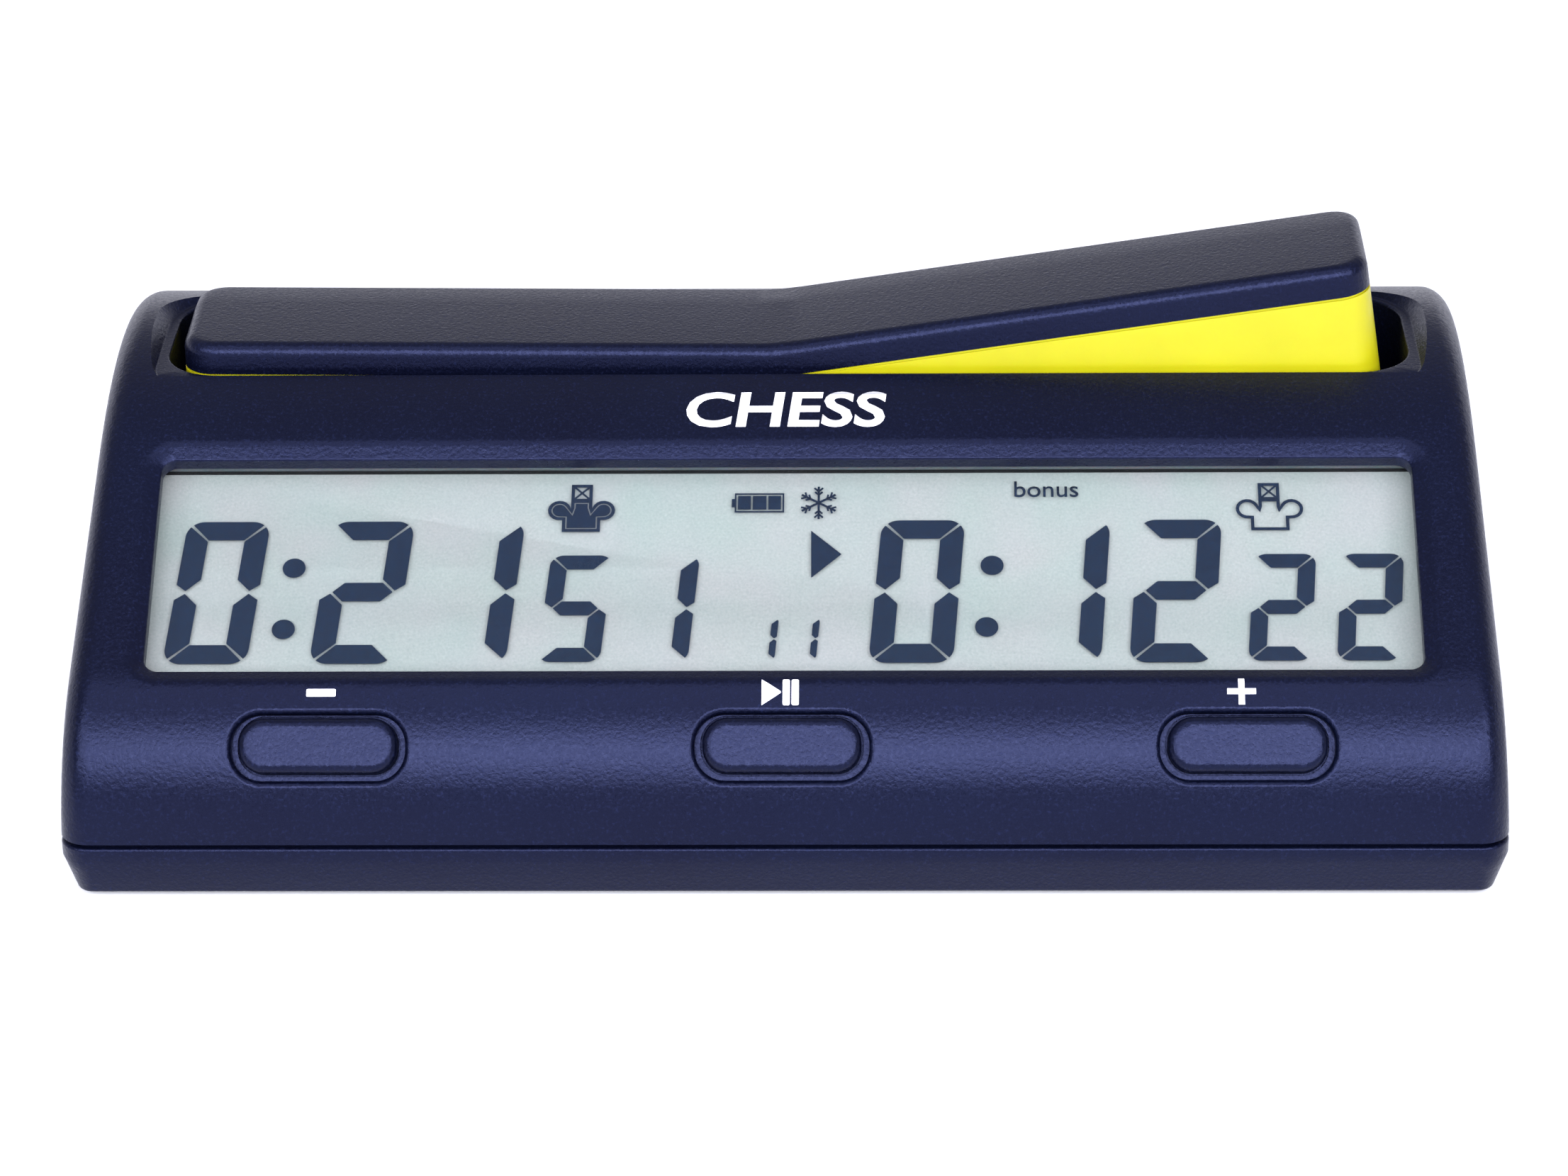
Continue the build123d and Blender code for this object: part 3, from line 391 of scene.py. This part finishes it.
def clearLayer(name, tints, ior, smooth, dull, texture):  # see-through, with a Fresnel gloss on top
    material, tree, output, where = newMaterial(name)
    grain = noise(tree, where, texture)
    clear = addNode(tree, "ShaderNodeBsdfTransparent", links={"Color": ramp(tree, grain, tints)})
    gloss = addNode(tree, "ShaderNodeBsdfGlossy", {"Color": (1.0, 1.0, 1.0, 1.0)},
                    {"Roughness": spread(tree, grain, (smooth, dull), wholeRange)})
    edge = addNode(tree, "ShaderNodeFresnel", {"IOR": ior})
    both = addNode(tree, "ShaderNodeMixShader",
                   links={"Fac": edge.outputs[0], 1: clear.outputs[0], 2: gloss.outputs[0]})
    tree.links.new(both.outputs[0], output.inputs["Surface"])
    return material


reflector = {
    "sparkle": 0.35, "sparkleRoughness": 0.7, "cloud": 12.0,   # mm
    "fine": ("#94918e", "#a19f9c"), "fineRange": (0.25, 0.75), "cloudTone": "#999a99",
}


def reflectorFilm(spec):
    # silver-grey rear reflector behind the polarisers: pale, scattered, with a fine sparkle
    material, tree, output, where = newMaterial("greyReflectorFilm")
    sparkle = noise(tree, where, spec["sparkle"], 3.0, spec["sparkleRoughness"])
    fine = ramp(tree, sparkle, spec["fine"], spec["fineRange"])
    tone = mix(tree, noise(tree, where, spec["cloud"], 3.0), fine, toLinear(spec["cloudTone"]))
    coat(tree, output, {"Roughness": 0.75, "Specular IOR Level": 0.2}, {"Base Color": tone})
    return material


def darkSegment():
    # crossed polarisers over a driven electrode: near-black blue, faintly mottled at 0.5 mm
    material, tree, output, where = newMaterial("crossedPolariserBlue")
    tone = ramp(tree, noise(tree, where, 0.5), ("#0e1a2e", "#122238"))
    coat(tree, output, {"Roughness": 0.8, "Specular IOR Level": 0.0}, {"Base Color": tone})
    return material


def whiteInk():
    # pad-printed white ink: opaque, matt, with pinholes near 0.25 mm
    material, tree, output, where = newMaterial("padPrintedWhiteInk")
    speck = noise(tree, where, 0.25)
    tone = ramp(tree, speck, ("#c9cad8", "#f6f6fb"), (0.22, 0.40))
    coat(tree, output, {"Roughness": 0.55, "Specular IOR Level": 0.3},
         {"Base Color": tone, "Normal": bump(tree, speck, 0.3, 0.01)})
    return material


materials = {slot: softFinish(*recipe) for slot, recipe in softFinishes.items()}
materials.update({slot: metalFinish(*recipe) for slot, recipe in metalFinishes.items()})
materials.update({slot: clearLayer(*recipe) for slot, recipe in clearLayers.items()})
materials.update({
    "navy_abs": navyAbs(navy),
    "yellow_abs": yellowAbs(yellow),
    "green_laminate": greenLaminate(laminate),
    "cell_wrap": cellWrap(cells),
    "reflector_film": reflectorFilm(reflector),
})
segmentMaterial = darkSegment()
inkMaterial = whiteInk()
print("materials made:", len(materials) + 2)

shading = {"merge": 0.002, "sharp": 28.0, "weight": 80}   # mm, degrees, weight given to large faces


def shadeByAngle(sharpAngle):  # smooth every edge up to this angle
    tree = bpy.data.node_groups.new("shadeByAngle", "GeometryNodeTree")
    tree.interface.new_socket("Geometry", in_out="INPUT", socket_type="NodeSocketGeometry")
    tree.interface.new_socket("Geometry", in_out="OUTPUT", socket_type="NodeSocketGeometry")
    start = addNode(tree, "NodeGroupInput")
    smooth = addNode(tree, "GeometryNodeSetShadeSmooth", links={"Geometry": start.outputs[0]})
    angle = addNode(tree, "GeometryNodeInputMeshEdgeAngle")
    flat = addNode(tree, "FunctionNodeCompare", {"data_type": "FLOAT", "operation": "LESS_EQUAL",
                                                 "B": math.radians(sharpAngle)},
                   {"A": angle.outputs["Unsigned Angle"]})
    edges = addNode(tree, "GeometryNodeSetShadeSmooth", {"domain": "EDGE"},
                    {"Geometry": smooth.outputs[0], "Shade Smooth": flat.outputs[0]})
    addNode(tree, "NodeGroupOutput", links={"Geometry": edges.outputs[0]})
    return tree


def softShade(piece, tree, spec):  # smooth shading by modifiers, so that the node's mesh isn't touched
    weld = piece.modifiers.new("weld", "WELD")
    weld.merge_threshold = spec["merge"] * mm
    shade = piece.modifiers.new("shade", "NODES")
    shade.node_group = tree
    weighted = piece.modifiers.new("weighted", "WEIGHTED_NORMAL")
    weighted.keep_sharp = True
    weighted.weight = spec["weight"]


slotOf = {entry["node"]: entry["material_slot"] for entry in frame["record"]["subparts"]}
shadeTree = shadeByAngle(shading["sharp"])
for name, piece in nodes.items():
    piece.data.materials.clear()
    piece.data.materials.append(materials[slotOf[name]])
    softShade(piece, shadeTree, shading)
print("nodes finished")


# display artwork: flat shapes between the plates, drawn on the sloping face in mm
faceSlope = math.radians(30.0)
faceRight = Vector((1.0, 0.0, 0.0))
faceUp = Vector((0.0, math.cos(faceSlope), math.sin(faceSlope)))
faceNormal = Vector((0.0, -math.sin(faceSlope), math.cos(faceSlope)))
artwork = {
    "above": 0.62,    # height over the reflector's middle, mm
    "rise": 0.40,     # up the face from the middle of the film to the artwork's zero line
    "thick": 0.04,
    "slant": 0.08,    # sideways lean of the digits for each mm of height
}
reflectorLow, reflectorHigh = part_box("lcd_reflector")
artOrigin = (reflectorLow + reflectorHigh) / 2 + (faceNormal * artwork["above"] + faceUp * artwork["rise"]) * mm
artTilt = Matrix.Rotation(faceSlope, 4, "X")


def finishMesh(name, mesh, material, body):  # a finished piece, its place in its mesh
    piece = bpy.data.objects.new(name, mesh)
    bpy.context.scene.collection.objects.link(piece)
    mesh.materials.clear()
    mesh.materials.append(material)
    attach(piece, body)
    return piece


def thicken(sheet, depth):  # flat sheet to closed plate
    raised = bmesh.ops.extrude_face_region(sheet, geom=sheet.faces[:])
    for corner in raised["geom"]:
        if isinstance(corner, bmesh.types.BMVert):
            corner.co.z += depth
    bmesh.ops.recalc_face_normals(sheet, faces=sheet.faces[:])


def plateMesh(name, shapes, thick):  # shapes: lists of loops in mm, the first outside and the rest holes
    sheet = bmesh.new()
    for loops in shapes:
        points = [point for loop in loops for point in loop]
        corners = [sheet.verts.new((x * mm, y * mm, 0)) for x, y in points]
        flat = [[Vector((x, y, 0)) for x, y in loop] for loop in loops]
        for triangle in tessellate_polygon(flat):
            sheet.faces.new([corners[i] for i in triangle])
    thicken(sheet, thick * mm)
    mesh = bpy.data.meshes.new(name)
    sheet.to_mesh(mesh)
    sheet.free()
    return mesh


def roundCorner(centre, radius, start, end, steps=6):  # points on an arc, degrees
    turns = [math.radians(start + (end - start) * i / steps) for i in range(steps + 1)]
    return [(centre[0] + radius * math.cos(t), centre[1] + radius * math.sin(t)) for t in turns]


# seven-segment digit, largest size
digit = {
    "halfWide": 5.0, "halfHigh": 10.15, "upright": 2.8, "level": 2.65,
    "gap": 0.32, "corner": 2.1, "tip": 0.42,   # tip: where an upright's point lies, as a share of its width
    "cornerGap": 5, "endShare": 0.3, "tipRoom": 0.05, "tipSlope": 0.75,   # degrees, shares and mm
}
lit = {"0": "ABCDEF", "1": "BC", "2": "ABDEG", "5": "ACDFG"}


def flipX(outline):
    return [(-x, y) for x, y in reversed(outline)]


def flipY(outline):
    return [(x, -y) for x, y in reversed(outline)]


def digitSegments(spec):  # outlines of segments A to G
    wide, high = spec["halfWide"], spec["halfHigh"]
    upright, level, corner = spec["upright"], spec["level"], spec["corner"]
    mitre = spec["gap"] / math.sqrt(2)
    inX, inY = wide - upright, high - level
    middle = (wide - corner, high - corner)
    endX = inX - mitre * spec["endShare"]
    bend = roundCorner(middle, corner, 45 + spec["cornerGap"], 90)
    top = [(-endX, inY), (endX, inY)] + bend + flipX(bend)
    tipX = wide - spec["tip"] * upright
    low = spec["gap"] / 2 + spec["tipRoom"]
    side = [(tipX, low), (wide, low + spec["tipSlope"] * (wide - tipX))]
    side += roundCorner(middle, corner, 0, 45 - spec["cornerGap"])
    side += [(inX, inY - mitre), (inX, low + tipX - inX)]
    half = level / 2
    bar = [(-tipX + mitre, 0), (-tipX + mitre + half, -half), (tipX - mitre - half, -half),
           (tipX - mitre, 0), (tipX - mitre - half, half), (-tipX + mitre + half, half)]
    return {"A": top, "B": side, "C": flipY(side), "D": flipY(top),
            "E": flipX(flipY(side)), "F": flipX(side), "G": bar}


digitPlaces = [
    # figure, middle across, middle up, size
    ("0", -67.76, -2.02, 1.0), ("2", -50.35, -2.02, 1.0), ("1", -37.05, -2.02, 1.0),
    ("5", -24.84, -4.4, 0.745), ("1", -14.45, -4.4, 0.745),
    ("1", -2.25, -8.76, 0.287), ("1", 2.65, -8.76, 0.287),
    ("0", 15.84, -2.02, 1.0), ("1", 33.28, -2.02, 1.0), ("2", 46.62, -2.02, 1.0),
    ("2", 59.16, -4.4, 0.745), ("2", 69.6, -4.4, 0.745),
]


def makeDigits(places, spec):
    # one small mesh for each segment, set out by Geometry Nodes at every lit place
    shapes = bpy.data.collections.new("segmentShapes")
    made = []
    for letter, outline in digitSegments(spec).items():
        leaned = [(x + artwork["slant"] * y, y) for x, y in outline]
        mesh = plateMesh("segment" + letter, [[leaned]], artwork["thick"])
        shape = bpy.data.objects.new("segment" + letter, mesh)
        shapes.objects.link(shape)
        made.append(shape)
    spots, kinds, sizes = [], [], []
    for figure, across, up, size in places:
        for letter in lit[figure]:
            spots.append(artOrigin + (faceRight * across + faceUp * up) * mm)
            kinds.append("ABCDEFG".index(letter))
            sizes.append(size)
    base = bpy.data.meshes.new("digitSpots")
    base.from_pydata([tuple(spot) for spot in spots], [], [])
    base.attributes.new("kind", "INT", "POINT").data.foreach_set("value", kinds)
    base.attributes.new("size", "FLOAT", "POINT").data.foreach_set("value", sizes)
    holder = bpy.data.objects.new("digitSpots", base)
    bpy.context.scene.collection.objects.link(holder)

    tree = bpy.data.node_groups.new("setOutDigits", "GeometryNodeTree")
    tree.interface.new_socket("Spots", in_out="INPUT", socket_type="NodeSocketGeometry")
    shapeSocket = tree.interface.new_socket("Segment Shapes", in_out="INPUT", socket_type="NodeSocketCollection")
    tiltSocket = tree.interface.new_socket("Face Slope", in_out="INPUT", socket_type="NodeSocketFloat")
    finishSocket = tree.interface.new_socket("Segment Finish", in_out="INPUT", socket_type="NodeSocketMaterial")
    tree.interface.new_socket("Digits", in_out="OUTPUT", socket_type="NodeSocketGeometry")
    start = addNode(tree, "NodeGroupInput")
    parts = addNode(tree, "GeometryNodeCollectionInfo", {"Separate Children": True, "Reset Children": True},
                    {"Collection": start.outputs[1]})
    kind = addNode(tree, "GeometryNodeInputNamedAttribute", {"data_type": "INT", "Name": "kind"})
    size = addNode(tree, "GeometryNodeInputNamedAttribute", {"data_type": "FLOAT", "Name": "size"})
    turn = addNode(tree, "ShaderNodeCombineXYZ", links={"X": start.outputs[2]})
    placed = addNode(tree, "GeometryNodeInstanceOnPoints", {"Pick Instance": True},
                     {"Points": start.outputs[0], "Instance": parts.outputs[0],
                      "Instance Index": kind.outputs["Attribute"], "Rotation": turn.outputs[0],
                      "Scale": size.outputs["Attribute"]})
    real = addNode(tree, "GeometryNodeRealizeInstances", links={"Geometry": placed.outputs[0]})
    finished = addNode(tree, "GeometryNodeSetMaterial", links={"Geometry": real.outputs[0],
                                                               "Material": start.outputs[3]})
    addNode(tree, "NodeGroupOutput", links={0: finished.outputs[0]})
    layout = holder.modifiers.new("layout", "NODES")
    layout.node_group = tree
    layout[shapeSocket.identifier] = shapes
    layout[tiltSocket.identifier] = faceSlope
    layout[finishSocket.identifier] = segmentMaterial
    bpy.context.view_layer.update()
    result = bpy.data.meshes.new_from_object(holder.evaluated_get(bpy.context.evaluated_depsgraph_get()))
    result.name = "displayDigits"
    bpy.data.objects.remove(holder)
    for shape in made:
        bpy.data.objects.remove(shape)
    bpy.data.collections.remove(shapes)
    return finishMesh("displayDigits", result, segmentMaterial, "case")


digits = makeDigits(digitPlaces, digit)
print("digits laid out:", len(digits.data.polygons), "faces")


def rectangle(left, right, bottom, top):
    return [(left, bottom), (right, bottom), (right, top), (left, top)]


def disc(centre, radius, steps=28):
    return roundCorner(centre, radius, 0, 360 - 360 / steps, steps - 1)


def band(start, end, width):  # straight bar between two points
    along = Vector((end[0] - start[0], end[1] - start[1])).normalized() * width / 2
    across = (-along.y, along.x)
    return [(start[0] + across[0], start[1] + across[1]), (start[0] - across[0], start[1] - across[1]),
            (end[0] - across[0], end[1] - across[1]), (end[0] + across[0], end[1] + across[1])]


def inset(outline, amount):  # move a counter-clockwise loop inwards along its corner bisectors
    moved = []
    count = len(outline)
    for i, (x, y) in enumerate(outline):
        before, after = Vector(outline[i - 1]), Vector(outline[(i + 1) % count])
        into = (Vector((x, y)) - before).normalized()
        out = (after - Vector((x, y))).normalized()
        normal = Vector((-into.y - out.y, into.x + out.x)).normalized()
        stretch = max(0.5, normal.dot(Vector((-into.y, into.x))))
        moved.append((x + normal.x * amount / stretch, y + normal.y * amount / stretch))
    return moved


icons = {
    "dots": ((-58.74, 1.44), (-59.48, -7.30), (24.8, 1.62), (24.06, -7.15)), "dotRadius": 1.38,
    "arrow": ((3.15, 6.67), (3.2, -0.10), (6.8, 3.27)),
    "battery": (-6.1, -0.13, 9.35, 12.13), "batteryLine": 0.2, "nub": (-6.45, -6.1, 10.1, 11.3),
    "charge": ((-5.70, -4.14), (-3.92, -2.27), (-2.05, -0.52)), "chargeHeight": (9.77, 11.76),
    "flake": (4.03, 10.73), "spoke": 2.35, "spokeLine": 0.28,
    "twigs": ((1.15, 0.62), (1.65, 0.72)), "twigLean": 0.8, "twigLine": 0.8,   # radians; share of the spoke's line
    "kings": ((-24.55, True), (58.2, False)), "kingLine": 0.40, "kingFill": 0.16, "crossLine": 0.6,
    "kingFoot": (2.3, 6.6, 8.3), "kingLobe": ((2.65, 9.70), 1.4, -78, 168, 12), "kingNotch": (1.28, 10.05, 11.2),
    "kingBox": (11.0, 13.45), "kingCross": (0.85, 11.4, 13.05),
    "word": (27.6, 35.3, 11.53), "lettering": "bonus", "bold": 0.004,
}


def kingOutline(middle, spec):  # crown of a chess king: body, two lobes, open notch under the cross box
    foot, bottom, top = spec["kingFoot"]
    notch, notchLow, notchHigh = spec["kingNotch"]
    right = [(0.0, bottom), (foot, bottom), (foot, top)] + roundCorner(*spec["kingLobe"])
    right += [(notch, notchLow), (notch, notchHigh)]
    return [(middle + x, y) for x, y in right + flipX(right)[:-1]]


def drawIcons(spec):
    shapes = [[disc(spot, spec["dotRadius"])] for spot in spec["dots"]]
    shapes.append([list(spec["arrow"])])
    outer = rectangle(*spec["battery"])
    shapes.append([outer, inset(outer, spec["batteryLine"])])
    shapes.append([rectangle(*spec["nub"])])
    shapes += [[rectangle(left, right, *spec["chargeHeight"])] for left, right in spec["charge"]]
    x0, y0 = spec["flake"]
    for i in range(6):
        turn = math.radians(30 + 60 * i)
        out = Vector((math.cos(turn), math.sin(turn)))
        rim = (x0 + out.x * spec["spoke"], y0 + out.y * spec["spoke"])
        shapes.append([band((x0, y0), rim, spec["spokeLine"])])
        for reach, length in spec["twigs"]:
            for lean in (-spec["twigLean"], spec["twigLean"]):
                tip = Vector((math.cos(turn + lean), math.sin(turn + lean))) * length
                foot = (x0 + out.x * reach, y0 + out.y * reach)
                end = (foot[0] + tip.x, foot[1] + tip.y)
                shapes.append([band(foot, end, spec["spokeLine"] * spec["twigLine"])])
    line = spec["kingLine"]
    boxHalf = spec["kingNotch"][0]
    crossHalf, crossLow, crossHigh = spec["kingCross"]
    for middle, filled in spec["kings"]:
        crown = kingOutline(middle, spec)
        shapes.append([crown, inset(crown, line)])
        if filled:
            shapes.append([inset(crown, line + spec["kingFill"])])
        box = rectangle(middle - boxHalf, middle + boxHalf, *spec["kingBox"])
        shapes.append([box, inset(box, line)])
        for lean in (-crossHalf, crossHalf):
            shapes.append([band((middle - lean, crossLow), (middle + lean, crossHigh), line * spec["crossLine"])])
    return plateMesh("displayIcons", shapes, artwork["thick"])


def wordMesh(name, text, bold, lean):  # flat outline lettering from the built-in sans
    curve = bpy.data.curves.new(name, "FONT")
    curve.body = text
    curve.offset = bold
    curve.shear = lean
    curve.resolution_u = 4
    holder = bpy.data.objects.new(name, curve)
    bpy.context.scene.collection.objects.link(holder)
    bpy.context.view_layer.update()
    mesh = bpy.data.meshes.new_from_object(holder.evaluated_get(bpy.context.evaluated_depsgraph_get()))
    bpy.data.objects.remove(holder)
    return mesh


def extent(mesh, axis):
    values = [corner.co[axis] for corner in mesh.vertices]
    return min(values), max(values)


def addLegend(mesh, spec):  # join the word to the icons, then lay them all on the sloping face
    legend = wordMesh("legend", spec["lettering"], spec["bold"], 0.0)
    left, right, bottom = spec["word"]
    start, end = extent(legend, 0)
    size = (right - left) / (end - start)
    sheet = bmesh.new()
    sheet.from_mesh(legend)
    for corner in sheet.verts:
        corner.co = Vector((left + (corner.co.x - start) * size, bottom + corner.co.y * size, 0)) * mm
    thicken(sheet, artwork["thick"] * mm)
    sheet.from_mesh(mesh)
    sheet.transform(Matrix.Translation(artOrigin) @ artTilt)
    sheet.to_mesh(mesh)
    sheet.free()
    return mesh


finishMesh("displayIcons", addLegend(drawIcons(icons), icons), segmentMaterial, "case")
print("display icons drawn")


# printed symbols over the keys and the name strip over the display, laid on the housing's skin
skin = nodes["upper_housing"].data
skinTree = BVHTree.FromPolygons([v.co for v in skin.vertices], [p.vertices for p in skin.polygons])
prints = {
    "proud": 0.02, "thick": 0.05, "strip": 0.7,    # mm; strips follow the curved skin
    "above": 4.0,                                  # mm over the skin, where a shape starts before it is laid down
    "symbolHigh": 3.3, "symbolUp": 50.3,           # symbol height, and its place round the front arc, degrees
    "lettering": "CHESS", "letterBox": (-12.0, 12.2, 5.7), "letterPlace": (-0.67, 44.65), "letterUp": 66.3,
    "bold": 0.022, "lean": 0.10,
}
frontArc = {"middle": (-23.0, 9.1), "radius": 20.0}   # mm, in the plane across the clock


def layOnSkin(name, mesh, centre, up, strip):  # mesh in mm on its own plane; up: the plane's tilt in degrees
    sheet = bmesh.new()
    sheet.from_mesh(mesh)
    low, high = min(v.co.y for v in sheet.verts), max(v.co.y for v in sheet.verts)
    level = low + strip
    while level < high:
        bmesh.ops.bisect_plane(sheet, geom=sheet.verts[:] + sheet.edges[:] + sheet.faces[:], dist=1e-5,
                               plane_co=(0, level, 0), plane_no=(0, 1, 0))
        level += strip
    bmesh.ops.triangulate(sheet, faces=sheet.faces[:])
    tilt = math.radians(up)
    normal = Vector((0, -math.cos(tilt), math.sin(tilt)))
    rising = Vector((0, math.sin(tilt), math.cos(tilt)))
    middle = Vector(centre) * mm
    raised = bmesh.ops.extrude_face_region(sheet, geom=sheet.faces[:])
    tops = {item for item in raised["geom"] if isinstance(item, bmesh.types.BMVert)}
    for corner in sheet.verts:
        start = middle + (faceRight * corner.co.x + rising * corner.co.y + normal * prints["above"]) * mm
        hit = skinTree.ray_cast(start, -normal)[0]
        lift = prints["proud"] if corner in tops else prints["proud"] - prints["thick"]
        corner.co = hit + normal * lift * mm
    bmesh.ops.recalc_face_normals(sheet, faces=sheet.faces[:])
    done = bpy.data.meshes.new(name)
    sheet.to_mesh(done)
    sheet.free()
    return finishMesh(name, done, inkMaterial, "case")


def flatMesh(name, shapes):
    sheet = bmesh.new()
    for loop in shapes:
        sheet.faces.new([sheet.verts.new((x, y, 0)) for x, y in loop])
    mesh = bpy.data.meshes.new(name)
    sheet.to_mesh(mesh)
    sheet.free()
    return mesh


def softRectangle(left, right, bottom, top, corner):
    middles = [(right - corner, bottom + corner), (right - corner, top - corner),
               (left + corner, top - corner), (left + corner, bottom + corner)]
    return [point for i, middle in enumerate(middles)
            for point in roundCorner(middle, corner, 90 * i - 90, 90 * i, 3)]


def symbolPlace(node):  # on the front arc, straight above a key
    low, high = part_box(node)
    turn = math.radians(prints["symbolUp"])
    (y, z), radius = frontArc["middle"], frontArc["radius"]
    return ((low.x + high.x) / 2 / mm, y - radius * math.cos(turn), z + radius * math.sin(turn))


half = prints["symbolHigh"] / 2
symbols = {
    "minus_key": ("minusMark", [softRectangle(-1.45, 1.99, -0.48, 0.48, 0.15)]),
    "play_key": ("playPauseMark", [[(-2.37, -half), (-0.15, -0.1), (-0.15, 0.1), (-2.37, half)],
                                   softRectangle(0.08, 0.92, -half, half, 0.2),
                                   softRectangle(1.13, 1.97, -half, half, 0.2)]),
    "plus_key": ("plusMark", [[(-2.31, -0.36), (-1.0, -0.36), (-1.0, -half), (-0.28, -half), (-0.28, -0.36),
                               (1.04, -0.36), (1.04, 0.36), (-0.28, 0.36), (-0.28, half), (-1.0, half),
                               (-1.0, 0.36), (-2.31, 0.36)]]),
}
for key, (name, shapes) in symbols.items():
    layOnSkin(name, flatMesh(name, shapes), symbolPlace(key), prints["symbolUp"], prints["strip"])



def nameLettering(spec):  # fit the word to its box, in mm
    mesh = wordMesh("lettering", spec["lettering"], spec["bold"], spec["lean"])
    left, right, high = spec["letterBox"]
    lowX, highX = extent(mesh, 0)
    lowY, highY = extent(mesh, 1)
    for corner in mesh.vertices:
        corner.co.x = left + (corner.co.x - lowX) / (highX - lowX) * (right - left)
        corner.co.y = ((corner.co.y - lowY) / (highY - lowY) - 0.5) * high
    return mesh


layOnSkin("nameStrip", nameLettering(prints), (0.0, *prints["letterPlace"]), prints["letterUp"], prints["strip"])
print("prints laid on the housing")
